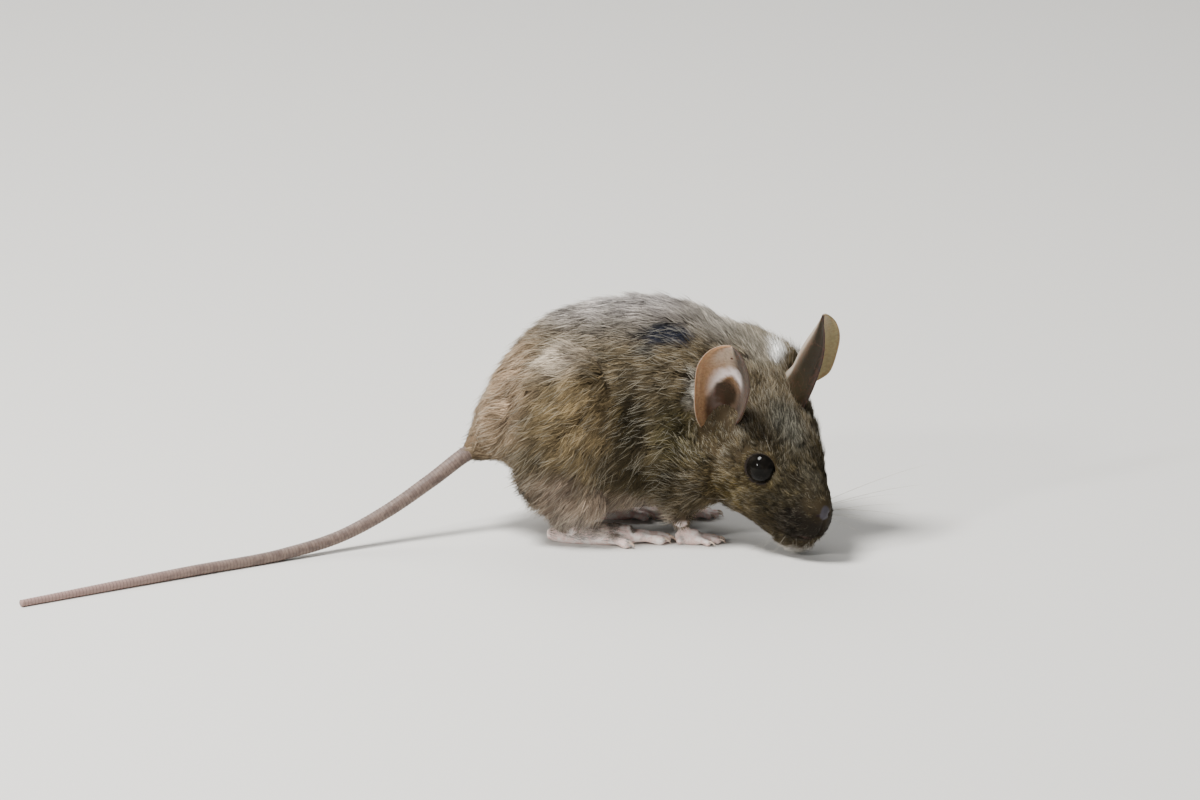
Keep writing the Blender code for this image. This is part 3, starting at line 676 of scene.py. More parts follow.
def alongMiddle(points):
    # for each point the nearest place on the middle line: its distance from the nose, the line's
    # direction there, and the angle round the line from the top
    line = np.array(middleLine)
    length = np.append(0, np.cumsum(np.linalg.norm(np.diff(line, axis=0), axis=1)))
    at = np.linspace(0, length[-1], 110)
    places = smoothThrough(length, line, at)
    ahead = unit(np.gradient(places, axis=0))
    near = ((points ** 2).sum(1)[:, None] - 2 * points @ places.T + (places ** 2).sum(1)).argmin(1)
    inHeadShare = smoothStep(at, 26, 12)[:, None]
    upward = headAxes()[2] * inHeadShare + np.array([0, 0, 1.0]) * (1 - inHeadShare)
    upward = unit(flattened(upward, ahead))
    side = np.cross(upward, ahead)
    away = points - places[near]
    angle = np.arctan2((away * side[near]).sum(1), (away * upward[near]).sum(1))
    return at[near], ahead[near], angle


def byEar(points, side):
    # distance from a line up the middle of the ear, and whether the place is level with its foot
    rise, opens, _, root = earFrame(side)
    offset = points - root
    up = offset @ rise
    across = np.linalg.norm(offset - rise * up[:, None] - opens * 0.5, axis=1)
    return across, np.abs(up) < 4.5


def coatRegions(points, station):
    # how strongly each vertex belongs to each region
    folded = faceFolded(points)
    x, y, z = points.T
    sidewards = np.abs(y)
    isHead = smoothStep(station, 23, 16) * (1 - smoothStep(z, 3.6, 2.8) * (x < skin["feetEnd"]))
    body = 1 - isHead
    lowLeg = smoothStep(z, 5.4, 2.6) * smoothStep(sidewards, 2.5, 5) * body
    foot = smoothStep(z, 2.6, 1.9) * body
    heel = foot * smoothStep(x, 1.6, -0.8) * (sidewards < 12)
    short = np.maximum(lowLeg * 0.62, foot * (0.78 - 0.1 * heel))
    tailBase = smoothStep(x, -9.5, -14.0) * patch(points, (-14.6, -0.4, 10.6), (5.0, 4.6, 4.2))
    return {
        "isHead": isHead, "lowLeg": lowLeg, "foot": foot, "short": short, "smooth": 1 - (1 - short) ** 2,
        "tailBase": tailBase, "tailRoot": tailBase + 0.7 * smoothStep(x, -14.0, -16.0),
        "flank": smoothStep(sidewards, 3, 8) * body * (0.3 + 0.75 * smoothStep(z, 19, 8)),
        "belly": smoothStep(z, 6, 3.2) * smoothStep(sidewards, 6.5, 4.5) * body,
        "crown": patch(folded, (10.5, 1.2, 6.0), (5.5, 3.2, 4.5)) * isHead,
        "cheek": patch(folded, (11, 6, -3), (5, 4, 4)) * isHead,
        "lips": patch(folded, (2.8, 1.2, -6.7), (4.4, 3.4, 1.2)) * isHead,
        "behindEar": patch(folded, (19.5, 6.2, 6.5), (3.6, 3.0, 3.2)),
    }


def coatLie(points, normals, near, ahead, region):
    # the lie of the coat: back along the body, down the flanks and legs, forward over the feet, away
    # from the eyes and up the ears, evened out over the skin
    forward, left, up = headAxes()
    flow = ahead + np.array([0, 0, -1.0]) * region["flank"][:, None]
    tailward = unit(np.array(tail["line"][2]) - tail["line"][0])
    for key, way in (("lowLeg", coat["legWay"]), ("tailBase", tailward), ("foot", coat["footWay"])):
        flow = flow * (1 - region[key])[:, None] + np.array(way) * region[key][:, None]
    flow += (up * coat["crownUp"] + left * coat["crownOut"]) * region["crown"][:, None]
    flow -= up * (coat["cheekDown"] * region["cheek"])[:, None]
    for side in sides:
        away, reach = fromEye(points, side)
        nearEye = groove(reach - coat["eyeFrom"], coat["eyeWidth"])
        flow += unit(away) * (coat["eyeParting"] * nearEye)[:, None]
        rise, _, _, root = earFrame(side)
        away = points - root
        nearEar = groove(np.linalg.norm(away, axis=1), coat["earWidth"])
        flow += unit(rise - away * 0.1) * (coat["upTheEar"][side] * nearEar)[:, None]
    firm = region["isHead"] * (1 - smoothStep(headPlace(points)[0], 14, 20))
    flow = relaxed(unit(flattened(flow, normals)), near, coat["evened"], 0.5 * (1 - 0.8 * firm))
    return unit(flattened(flow, normals))


def coatValues(points, station, region):
    # the tufts' values by distance from the nose, and then region by region
    keys = ("length", "width", "lift", "perSquare", "clump", "guard")
    value = {key: np.interp(station, coat["station"], coat[key]) for key in keys}
    for key, name, share in coat["changes"]:
        value[key] *= 1 + share * region[name]
    for key, name, more in coat["additions"]:
        value[key] += more * region[name]
    for side in sides:
        across, level = byEar(points, side)
        nearEar = smoothStep(across, 5.2, 2.8) * level
        nearEye = smoothStep(fromEye(points, side)[1], 3.6, 2.0)
        value["length"] *= 1 - coat["shorterByEye"][side] * nearEye
        value["width"] *= 1 - coat["finerByEye"] * nearEye
        value["length"] *= 1 - coat["shorterByEar"][side] * nearEar
        value["lift"] += coat["liftByEar"][side] * nearEar
    return value


def bareSkin(points, normals, region):
    # where no hair grows: the nose, the mouth's line, soles, toes' undersides, eyes and ears' feet
    behind, _, above = headPlace(points)
    nose = patch(faceFolded(points), (0.3, 0, -0.45), (0.7, 0.72, 0.95))
    mouth = groove(above - lipLine(behind), 0.16) * smoothStep(behind, 6.2, 5.4) * (behind < 8)
    masks = [smoothStep(nose, 0.3, 0.5), smoothStep(mouth, 0.4, 0.8),
             smoothStep(points[:, 2], 0.75, 0.35) * (1 - region["isHead"]),
             region["foot"] * smoothStep(normals[:, 2], 0.1, -0.2)]
    for side in sides:
        across, level = byEar(points, side)
        masks += [smoothStep(fromEye(points, side)[1], 2.02, 1.9), smoothStep(across, 0.8, 0.6) * level]
    return np.max(masks, axis=0)


def coatFields(points, normals, near):
    # what the coat is like at each vertex of the skin
    station, ahead, angle = alongMiddle(points)
    station = relaxed(station[:, None], near, 12)[:, 0]
    region = coatRegions(points, station)
    fields = coatValues(points, station, region)
    fields["perSquare"] *= 1 - bareSkin(points, normals, region)
    fields.update(flow=coatLie(points, normals, near, ahead, region), station=station, angle=angle,
                  onLegs=np.maximum(region["foot"], region["lowLeg"]), isHead=region["isHead"],
                  foot=region["foot"])
    return fields


def sampleRoots(mesh, points, normals, fields):
    # roots spread over the skin's triangles by area and wanted number, with the fields carried over
    mesh.calc_loop_triangles()
    corners = np.empty(len(mesh.loop_triangles) * 3, np.int32)
    mesh.loop_triangles.foreach_get("vertices", corners)
    corners = corners.reshape(-1, 3)
    a, b, c = (points[corners[:, k]] for k in range(3))
    area = np.linalg.norm(np.cross(b - a, c - a), axis=1) / 2
    wanted = area * fields["perSquare"][corners].mean(1)
    number = np.floor(wanted + random.random(len(wanted))).astype(int)
    at = corners[np.repeat(np.arange(len(corners)), number)]
    r1, r2 = np.sqrt(random.random(len(at))), random.random(len(at))
    weight = np.stack([1 - r1, r1 * (1 - r2), r1 * r2], -1)

    def carried(values):
        values = values[at]
        return (values * (weight[..., None] if values.ndim == 3 else weight)).sum(1)
    roots = {key: carried(values) for key, values in fields.items()}
    roots["angle"] = fields["angle"][at[:, 0]]      # angles don't blend where they turn over
    roots["root"], roots["normal"] = carried(points), unit(carried(normals))
    roots["flow"] = unit(roots["flow"])
    print("coat:", len(at), "tufts on", round(area.sum()), "square mm of skin")
    return roots


def wander(at, scale=1.25):
    # a smooth field of directions: sines of the place, bent by slower sines
    phase = np.array([[3.3, 4.1, 2.7], [2.4, 3.9, 4.8], [4.2, 2.3, 3.1]])
    slow = np.sin(at[:, [1, 2, 0]] * (0.37 * scale) + phase[0]) * 1.6
    slow = slow + np.sin(at[:, [2, 0, 1]] * (0.21 * scale) + phase[1])
    wave = np.sin(at * scale + slow + phase[2])
    return wave + 0.6 * np.sin(at[:, [2, 0, 1]] * (1.7 * scale) - slow + phase[1])


def clumpCentres(at, size):
    # the nearest of many scattered places, one in each cell of a grid, and its random numbers
    scatter = np.array([[12.99, 78.23, 37.72], [39.35, 11.14, 83.16], [73.16, 52.24, 9.15]])
    cell = np.floor(at / size)
    nearest = np.full(len(at), np.inf)
    centre, chance = at.copy(), at.copy()
    for offset in np.ndindex(3, 3, 3):
        corner = cell + np.array(offset) - 1
        random3 = np.sin(corner @ scatter) * 4375.85 % 1
        place = (corner + random3) * size
        away = np.linalg.norm(place - at, axis=1)
        closer = away < nearest
        nearest = np.where(closer, away, nearest)
        centre = np.where(closer[:, None], place, centre)
        chance = np.where(closer[:, None], random3[:, [1, 2, 0]], chance)
    return centre, nearest / size[:, 0], chance


def tuftLines(r):
    # each tuft's root, middle and tip: root + flow * length * t * cos(lift)
    # + normal * (length * t * sin(lift) - droop * t^2) + the clump's pull * t^1.6 + side * curl
    n = len(r["length"])
    length = r["length"] * (0.75 + 0.5 * random.random(n))
    guard = (random.random(n) < r["guard"]) * (0.35 + 0.65 * smoothStep(r["station"], 4, 9))
    length = length * (1 + 0.25 * guard)
    size = np.where(r["isHead"] > 0.5, coat["clumpSize"]["head"], coat["clumpSize"]["body"])[:, None]
    centre, edge, chance = clumpCentres(r["root"], size)
    lift = r["lift"] * (0.75 + 0.5 * random.random(n)) * (1 + coat["clumpLift"] * (2 * chance[:, 0] - 1))
    lift = np.radians(lift + 3 * guard)
    turn = np.radians(coat["turn"]) * random.normal(size=n)
    turn = (turn + np.radians(coat["clumpTurn"]) * (2 * chance[:, 1] - 1)) * (1 - 0.5 * r["onLegs"])
    side = np.cross(r["flow"], r["normal"])
    flow = r["flow"] * np.cos(turn)[:, None] + side * np.sin(turn)[:, None]
    pull = flattened((centre - r["root"]) * r["clump"][:, None], r["normal"])
    sway = wander(r["root"]) * (coat["sway"] * r["clump"])[:, None]
    pull += flattened(sway, r["normal"], 0.7)
    curl = random.normal(size=n) * coat["curl"] * length * (1 - r["onLegs"])
    droop = length * (coat["droop"] * np.sin(lift) + 0.02)
    measures = length * np.cos(lift), length * np.sin(lift), droop, curl
    along, above, droop, curl = (measure[:, None, None] for measure in measures)
    t = tuftStops[None, :, None]
    line = (r["root"] - coat["rooted"] * r["normal"])[:, None] + flow[:, None] * along * t
    line = line + r["normal"][:, None] * (above * t - droop * t ** 2)
    line = line + pull[:, None] * t ** 1.6 + side[:, None] * curl * np.sin(t * 2.6)
    return line, {"guard": guard, "clumpRandom": chance[:, 2], "clumpEdge": edge}


# a tuft: its root, three corners round its middle, and its tip
tuftStops = np.array((0, 0.5, 1))
tuftStop = np.array((0, 0.5, 0.5, 0.5, 1))
tuftCorner = np.array((0, -1, 1, 0, 0))
tuftFaces = np.array(((0, 1, 2), (0, 2, 3), (0, 3, 1), (4, 2, 1), (4, 3, 2), (4, 1, 3)))
tuftPatch = np.array((0.0015, 0.003))      # half a tuft's width and its height on the bake map


def growTufts(roots, pick):
    # a flat triangle across each middle line, with both ends of the line as points
    r = {key: values[pick] for key, values in roots.items()}
    n, each = len(pick), len(tuftStop)
    line, chances = tuftLines(r)
    ahead = unit(np.gradient(line, axis=1))[:, 1]
    across = unit(np.cross(ahead, r["normal"]))
    top = np.cross(across, ahead)
    half = (r["width"] * (0.8 + 0.4 * random.random(n)) / 2)[:, None]
    start, middle, tip = line[:, 0], line[:, 1], line[:, 2]
    corners = [start, middle - across * half, middle + across * half, middle + top * half * 0.8, tip]
    points = np.stack(corners, 1)
    points[..., 2] = np.maximum(points[..., 2], coat["floorGap"])
    triangles = tuftFaces[None] + (np.arange(n) * each)[:, None, None]
    chances["tuftRandom"] = random.random(n)
    values = {key: np.repeat(chance, each) for key, chance in chances.items()}
    values.update(along=np.tile(tuftStop, n), shownAt=np.repeat(line[:, 1:].mean(1) + shift, each, 0))
    uv = np.repeat(unwrapped(r), each, 0)
    uv = uv + np.stack([np.tile(tuftCorner, n), np.tile(tuftStop, n) - 0.5], -1) * tuftPatch
    return (points.reshape(-1, 3), triangles.reshape(-1, 3)), values, uv


def unwrapped(r):
    # the skin's own unwrap: distance from the nose one way and the angle round the body the other;
    # each foot has a strip of its own
    if r["foot"].min() >= 0.5:
        x, y, z = r["root"].T
        strip = 2 * (y > 0) + (x > 5.5)
        turn = np.arctan2(np.abs(y) - 5.4, z - 1.0) / (2 * math.pi) + 0.5
        u, v = x % 11 / 11, (strip + 0.04 + 0.92 * turn) / 4
    else:
        station = r["station"]
        u = (station - station.min()) / (np.ptp(station) + 1e-6)
        v = np.abs(r["angle"]) / math.pi
    return 0.02 + 0.96 * np.stack([u, v], -1)


def coatPieces(roots, look):
    # the tufts in pieces of fewer than 200,000 triangles: by distance from the nose and by side
    station, onFoot = roots["station"], roots["foot"] >= 0.5
    pieces, start = [], 0
    for name, stop in coat["pieces"].items():
        for side, word in sides.items():
            onThis = (roots["angle"] < 0) == (side < 0)
            pick = np.flatnonzero((station >= start) & (station < stop) & onThis & ~onFoot)
            pieces.append(coatPiece("coat_%s_%s" % (name, word), roots, pick, look))
        start = stop
    pieces.append(coatPiece("coat_feet", roots, np.flatnonzero(onFoot), look))
    return pieces


def coatPiece(title, roots, pick, look):
    loft, values, uv = growTufts(roots, pick)
    piece = makePiece(title, loft, look, values, uv)
    # its normals lean toward the skin's, as soft fur scatters light between its hairs
    share = coat["softness"] - coat["headFirmer"] * roots["isHead"][pick]
    share = np.repeat(share, len(tuftStop))[:, None]
    skinwards = np.repeat(roots["normal"][pick], len(tuftStop), 0)
    normals = unit(readNormals(piece.data) * (1 - share) + skinwards * share)
    piece.data.normals_split_custom_set_from_vertices(normals.astype(np.float32))
    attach(piece, "root")
    return piece


# Whiskers

whisker = {
    "rows": 3, "columns": 3, "fine": 0.013, "around": 5, "rings": 14, "bristles": 34,
    "taper": (1, 0.9, 0.7, 0.45, 0.2), "floorGap": 0.4,
    # for each side: the aims (outward, forward, up), what they change by from the first to the last
    # row and column, the bend of the hairs, and the hairs' lengths
    1: {"aim": (0.85, 0.62, 0.34), "row": (0.0, 0.0, -0.36), "column": (0.0, -0.42, 0.0),
        "bend": (0.0, -0.12, -0.2), "length": (5.0, 12.5), "root": -1.5, "apart": 0.9, "thick": 0.022},
    -1: {"aim": (0.1, 0.3, -0.9), "row": (0.1, -0.1, -0.1), "column": (0.75, -0.35, 0.25),
         "bend": (0.05, -0.18, -0.12), "length": (3.6, 4.6), "root": -5.0, "apart": 1.5, "thick": 0.011},
    # single hairs above the eye and on the cheek: place behind and above the nose, and aim
    "single": ((7.4, 4.6, (0.35, -0.1, 0.9)), (11.0, -3.2, (0.8, -0.3, -0.1))), "singleLength": 2.6,
}


def whiskerLofts(points):
    # tapering hairs from the pads beside the nose: each leaves outward and forward and bends back
    forward, left, up = headAxes()
    behind, out, above = headPlace(points)
    lofts = []

    def rootAt(back, outward, upward):
        return points[((behind - back) ** 2 + (out - outward) ** 2 + (above - upward) ** 2).argmin()]

    def grow(root, aim, bend, length, thick):
        t = np.linspace(0, 1, len(whisker["taper"]))[:, None]
        line = root + length * (aim * t + bend * t ** 2)
        line[:, 2] = np.maximum(line[:, 2], whisker["floorGap"] + 0.5 * t[:, 0])
        lofts.append(tubeLoft(line, thick * np.array(whisker["taper"]), whisker["rings"], whisker["around"],
                              (0.31, 0.52, 0.8)))

    for side in sides:
        turned = np.array([left * side, forward, up])
        fan = whisker[side]
        shortest, longest = fan["length"]
        for row, column in np.ndindex(whisker["rows"], whisker["columns"]):
            root = rootAt(1.6 + fan["apart"] * column + 0.1 * row, side * 3.0, fan["root"] - 0.7 * row)
            low, back = row / (whisker["rows"] - 1), column / (whisker["columns"] - 1)
            length = (shortest + (longest - shortest) * back) * (0.8 + 0.3 * random.random())
            aim = np.array(fan["aim"]) + low * np.array(fan["row"]) + back * np.array(fan["column"])
            aim = aim + 0.08 * random.normal(size=3)
            grow(root, unit(aim @ turned), fan["bend"] @ turned, length, fan["thick"] * (0.75 + 0.3 * back))
        for back, upward, aim in whisker["single"]:
            root = rootAt(back, side * 3.4, upward)
            grow(root, unit(aim @ turned), -forward * 0.25, whisker["singleLength"], whisker["fine"])
        for back in np.linspace(0.9, 7.2, whisker["bristles"]):
            root = rootAt(back, side * (0.2 + 0.3 * back * random.random()), -5.0 - 0.5 * back)
            aim = unit((0.25, 0.3 - 0.1 * back, -0.9) @ turned + 0.25 * random.normal(size=3))
            grow(root, aim, -forward * 0.15, 0.9 + 0.8 * random.random(), whisker["fine"])
    return joined(lofts)


# Materials

class Wire:
    # a node's output in an expression: each operator adds the Math node that works it out
    def __init__(self, shade, socket):
        self.shade, self.socket = shade, socket

    def maths(self, operation, *values):
        inputs = dict(enumerate(values or (self,)))
        return self.shade.node("ShaderNodeMath", {"operation": operation}, inputs)

    def __add__(self, other):
        return self.maths("ADD", self, other)

    def __sub__(self, other):
        return self.maths("SUBTRACT", self, other)

    def __rsub__(self, other):
        return self.maths("SUBTRACT", other, self)

    def __mul__(self, other):
        return self.maths("MULTIPLY", self, other)

    def __truediv__(self, other):
        return self.maths("DIVIDE", self, other)

    def __pow__(self, other):
        return self.maths("POWER", self, other)

    __radd__, __rmul__ = __add__, __mul__


class Shade:
    # a material, and the nodes of its finish
    def __init__(self, name, **constants):
        self.material = bpy.data.materials.new(name)
        self.material.use_nodes = True
        self.tree = self.material.node_tree
        self.surface = self.tree.nodes["Principled BSDF"]
        for key, value in constants.items():
            self.surface.inputs[key.replace("_", " ")].default_value = value

    def node(self, kind, settings=None, inputs=None, output=0):
        made = self.tree.nodes.new(kind)
        for key, value in (settings or {}).items():
            setattr(made, key, value)
        for key, value in (inputs or {}).items():
            if isinstance(value, Wire):
                self.tree.links.new(value.socket, made.inputs[key])
            else:
                made.inputs[key].default_value = value
        return Wire(self, made.outputs[output])

    def feed(self, key, wire):
        self.tree.links.new(wire.socket, self.surface.inputs[key])

    def attribute(self, name, output=2):
        return self.node("ShaderNodeAttribute", {"attribute_name": name}, output=output)

    def place(self):
        # object coordinates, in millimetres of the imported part's axes
        coords = self.node("ShaderNodeTexCoord", output=3)
        return self.vector("SCALE", coords, Scale=1 / mm)

    def part(self, at, axis):
        return self.node("ShaderNodeSeparateXYZ", None, {0: at}, "XYZ".index(axis))

    def vector(self, operation, a, b=None, output=0, **named):
        inputs = {0: a} if b is None else {0: a, 1: b}
        return self.node("ShaderNodeVectorMath", {"operation": operation}, {**inputs, **named}, output)

    def noise(self, at, scale, detail=2.0, output=0, distortion=0.0):
        inputs = {"Vector": at, "Scale": scale, "Detail": detail, "Distortion": distortion}
        return self.node("ShaderNodeTexNoise", None, inputs, output)

    def ramp(self, value, start, stop, low=0.0, high=1.0):
        inputs = {"Value": value, "From Min": start, "From Max": stop, "To Min": low, "To Max": high}
        return self.node("ShaderNodeMapRange", {"interpolation_type": "SMOOTHSTEP"}, inputs)

    def mix(self, a, b, factor, blend="MIX"):
        a, b = (c if isinstance(c, Wire) else (*c, 1.0) for c in (a, b))
        settings = {"data_type": "RGBA", "blend_type": blend}
        return self.node("ShaderNodeMix", settings, {0: factor, 6: a, 7: b}, 2)

    def times(self, colour, by):
        # a colour darkened or lightened: by another colour, or by a grey value
        if isinstance(by, Wire):
            by = self.node("ShaderNodeCombineColor", None, {0: by, 1: by, 2: by})
        return self.mix(colour, by, 1.0, "MULTIPLY")

    def spot(self, at, centre, radii, soft=0.55):
        # 1 inside an ellipsoid and 0 outside, with a soft edge
        away = self.vector("DIVIDE", self.vector("SUBTRACT", at, tuple(centre)), tuple(radii))
        return self.ramp(self.vector("LENGTH", away, output=1), 1.0, 1.0 - soft)

    def bump(self, height, strength, depth):
        # depth in millimetres
        inputs = {"Height": height, "Strength": strength, "Distance": depth * mm}
        self.feed("Normal", self.node("ShaderNodeBump", None, inputs))


# Markings of the coat, some of them painted highlight and painted shade as noted at each: colour,
# centre and radii, softness of the edge, and share; the body's are in the body's own axes, the head's
# behind the nose, out to either side and above the nose, and later ones lie over earlier ones
markings = {
    "ground": (0.13, 0.1, 0.058),
    "bothSides": ("haunch", "haunchTopHighlight", "shoulder", "foldShade", "lowSideShade", "hock", "rearFold", "lowBelly"),
    "body": {
        "back": ((0.42, 0.39, 0.375), (0, 0, 30), (26, 13, 9), 0.8, 0.95),
        "rump": ((0.42, 0.3, 0.195), (-13, 0, 17), (9, 13, 12), 0.7, 0.9),
        "haunch": ((0.34, 0.25, 0.13), (-4.0, -9, 15), (6.5, 8, 8), 0.7, 0.85),
        # the haunch's top made paler: a painted highlight where light falls from above
        "haunchTopHighlight": ((0.68, 0.57, 0.44), (-6.0, -7.5, 22.0), (5.5, 5, 4.2), 0.9, 0.75),
        "nape": ((0.39, 0.36, 0.31), (12.5, 0, 25.0), (6, 8, 4.5), 0.9, 0.75),
        "shoulder": ((0.08, 0.068, 0.026), (7.5, -9.5, 13.5), (5.5, 5, 7), 0.9, 0.8),
        # near black in the crease between haunch and flank: painted shade
        "foldShade": ((0.013, 0.01, 0.002), (1.6, -10, 14.6), (3.6, 6, 7.6), 0.8, 0.92),
        # the lower flank near black: painted shade where it turns from the light above
        "lowSideShade": ((0.022, 0.016, 0.003), (4.0, -10, 8.0), (6.5, 6, 4.6), 0.9, 0.88),
        "hock": ((0.32, 0.24, 0.185), (-5.8, -8, 6.2), (4.4, 6, 4.0), 0.8, 0.8),
        "rearFold": ((0.28, 0.22, 0.165), (-9.4, -6.0, 6.8), (3.4, 6.0, 3.6), 0.9, 0.8),
        "belly": ((0.66, 0.55, 0.48), (-1, 0, 0.8), (13, 18, 6.2), 0.8, 0.92),
        "lowBelly": ((0.42, 0.32, 0.24), (-1.0, -9.4, 4.6), (6.0, 6.0, 2.6), 0.9, 0.8),
        "foreFeet": ((0.62, 0.5, 0.45), (10, 0, 0.2), (5, 10, 2.4), 0.5, 0.9),
        "toes": ((0.88, 0.84, 0.81), (4, 0, 0), (17, 16, 1.9), 0.5, 0.9),
        "slate": ((0.016, 0.019, 0.031), (6.3, -5.5, 24.2), (4.6, 3.0, 1.9), 0.6, 0.98),
        "slateBehind": ((0.04, 0.042, 0.044), (3.6, -6.6, 22.6), (2.2, 1.6, 1.4), 0.9, 0.8),
        "slateBelow": ((0.12, 0.12, 0.12), (6.6, -8.0, 21.4), (2.6, 1.8, 1.8), 0.9, 0.6),
        "darkSpot": ((0.06, 0.048, 0.035), (-9.5, -4.8, 20.3), (1.1, 1.1, 1.0), 0.9, 0.8),
        "paleBehindEar": ((0.74, 0.71, 0.62), (9.2, -7.6, 18.2), (1.5, 2.6, 3.3), 0.9, 0.9),
        # two dark spots on the shoulder: painted shade where the fur parts in clumps
        "partingShadeHigh": ((0.022, 0.018, 0.01), (7.3, -9.8, 14.6), (1.2, 1.8, 1.6), 0.9, 0.85),
        "partingShadeLow": ((0.022, 0.018, 0.01), (7.9, -10.4, 11.4), (1.6, 1.8, 1.0), 0.9, 0.85),
        # a dark spot just behind and below the near ear's root: painted shade under the ear
        "shadeUnderEar": ((0.03, 0.03, 0.03), (10.4, -8.4, 16.0), (1.1, 1.6, 1.2), 0.9, 0.8),
        "crownNape": ((0.33, 0.3, 0.245), (16.5, -1.0, 22.0), (4.6, 5.0, 3.4), 0.9, 0.8),
        "whiteTuft": ((0.95, 0.95, 0.93), (19.0, -1.2, 21.6), (1.7, 3.6, 1.5), 0.8, 0.97),
    },
    "head": {
        # the dark face: partly its own dark brown, partly painted shade of a face turned from the light
        "face": ((0.032, 0.0245, 0.0105), (6.5, 0, 0), (10, 9, 9), 0.6, 0.94),
        "cheekFur": ((0.132, 0.096, 0.034), (11.5, 6.0, -2.6), (5.0, 4.0, 4.5), 0.9, 0.85),
        "forehead": ((0.074, 0.072, 0.056), (9.5, 0, 6.2), (7.0, 3.4, 3.4), 0.8, 0.85),
        "temple": ((0.013, 0.01, 0.003), (11.2, 3.6, 4.2), (3.6, 2.2, 2.6), 1.0, 0.85),
        # darker fur round the foot of each ear: painted shade under the ears
        "earFootShade": ((0.05, 0.037, 0.016), (13.6, 5.6, 3.2), (3.4, 2.6, 2.8), 0.8, 0.85),
        "eyeRing": ((0.118, 0.09, 0.04), (8.1, 3.9, 1.2), (3.2, 2.8, 3.4), 0.5, 0.6),
        "muzzle": ((0.015, 0.0105, 0.0055), (2.4, 1.6, -2.8), (4.8, 4.6, 3.6), 0.6, 0.97),
        "bridge": ((0.075, 0.067, 0.045), (4.4, 0, 2.4), (3.8, 1.6, 1.7), 0.8, 0.75),
        "chin": ((0.7, 0.67, 0.62), (3.0, 0, -7.6), (5.8, 4.4, 1.7), 0.6, 0.95),
        "throat": ((0.23, 0.19, 0.13), (10.5, 0, -8.2), (7, 5, 2.6), 0.7, 0.8),
    },
    "wobble": 2.2, "wobbleScale": 0.35,
}


def shownInHead(shade, at):
    # the same place seen in the head, with both sides of the head folded together
    forward, left, up = headAxes()
    away = shade.vector("SUBTRACT", at, tuple(np.array(headPose["nose"]) + shift))
    behind, out, above = (shade.vector("DOT_PRODUCT", away, tuple(axis), 1) for axis in (-forward, left, up))
    return shade.node("ShaderNodeCombineXYZ", None, {0: behind, 1: out.maths("ABSOLUTE"), 2: above})


def coatColour(shade, at):
    # the ground colour under each marking in turn, with edges broken by a wandering of the place
    wobble = shade.vector("SUBTRACT", shade.noise(at, markings["wobbleScale"], 3.0, 1), (0.5, 0.5, 0.5))
    at = shade.vector("ADD", at, shade.vector("SCALE", wobble, Scale=markings["wobble"]))
    inFace = shownInHead(shade, at)
    colour = markings["ground"]
    for name, (tint, centre, radii, soft, amount) in markings["body"].items():
        for mirror in (1, -1) if name in markings["bothSides"] else (1,):
            mask = shade.spot(at, onSide(centre, mirror) + shift, radii, soft)
            colour = shade.mix(colour, tint, mask * amount)
    for tint, centre, radii, soft, amount in markings["head"].values():
        colour = shade.mix(colour, tint, shade.spot(inFace, centre, radii, soft) * amount)
    return colour


hair = {
    # brightness: from tuft to tuft, more of it on the muzzle, from clump to clump, darker toward a clump's
    # edge as painted shade in the gaps between clumps, and over the body (scale of the noise, and the ramp
    # from it to the brightness)
    "tufts": (0.0, 1.0, 0.66, 1.34), "muzzleTufts": (0.5, 0.98, -0.15, 0.5),
    "clumps": (0.0, 1.0, 0.82, 1.18), "clumpEdge": (0.2, 0.66, 1.15, 0.62),
    "body": ((0.3, 0.32, 0.68, 0.84, 1.16), (0.95, 0.34, 0.66, 0.78, 1.18), (2.4, 0.36, 0.64, 0.8, 1.15)),
    "muzzle": ((4.0, 0.0, -1.0), (7.5, 5.5, 7.5), 0.5),
    "root": (0.34, 0.33, 0.36), "darkTip": (0.022, 0.018, 0.014), "paleTip": (0.46, 0.43, 0.35),
    "stroke": (0.15, 0.14, 0.115),
}


def coatLook():
    # hair: darker at the root, the coat's colour along it, a dark tip on some and a pale one on
    # guard hairs, and light strokes on the muzzle
    shade = Shade("coat", Roughness=0.62, Specular_IOR_Level=0.09)
    along, chance, guard = (shade.attribute(name) for name in ("along", "tuftRandom", "guard"))
    at = shade.attribute("shownAt", 1)
    onMuzzle = shade.spot(shownInHead(shade, at), *hair["muzzle"])
    bright = shade.ramp(chance, *hair["tufts"])
    bright = bright * (shade.ramp(chance, *hair["muzzleTufts"]) * onMuzzle + 1.0)
    bright = bright * shade.ramp(shade.attribute("clumpRandom"), *hair["clumps"])
    # hair darker toward a clump's edge: painted shade in the gaps between clumps
    bright = bright * shade.ramp(shade.attribute("clumpEdge"), *hair["clumpEdge"])
    for scale, *levels in hair["body"]:
        bright = bright * shade.ramp(shade.noise(at, scale), *levels)
    colour = shade.times(coatColour(shade, at), bright)
    colour = shade.mix(shade.times(colour, hair["root"]), colour, shade.ramp(along, 0.12, 0.55))
    darkTip = shade.ramp(along, 0.72, 1.0) * shade.ramp(chance, 0.4, 0.25)
    colour = shade.mix(colour, hair["darkTip"], darkTip * 0.6)
    paleTip = shade.ramp(along, 0.35, 0.9) * guard
    colour = shade.mix(colour, hair["paleTip"], paleTip * 0.4)
    strokes = shade.ramp(chance, 0.76, 1.0) * shade.ramp(along, 0.2, 0.7) * onMuzzle
    shade.feed("Base Color", shade.mix(colour, hair["stroke"], strokes * 0.5))
    return shade.material


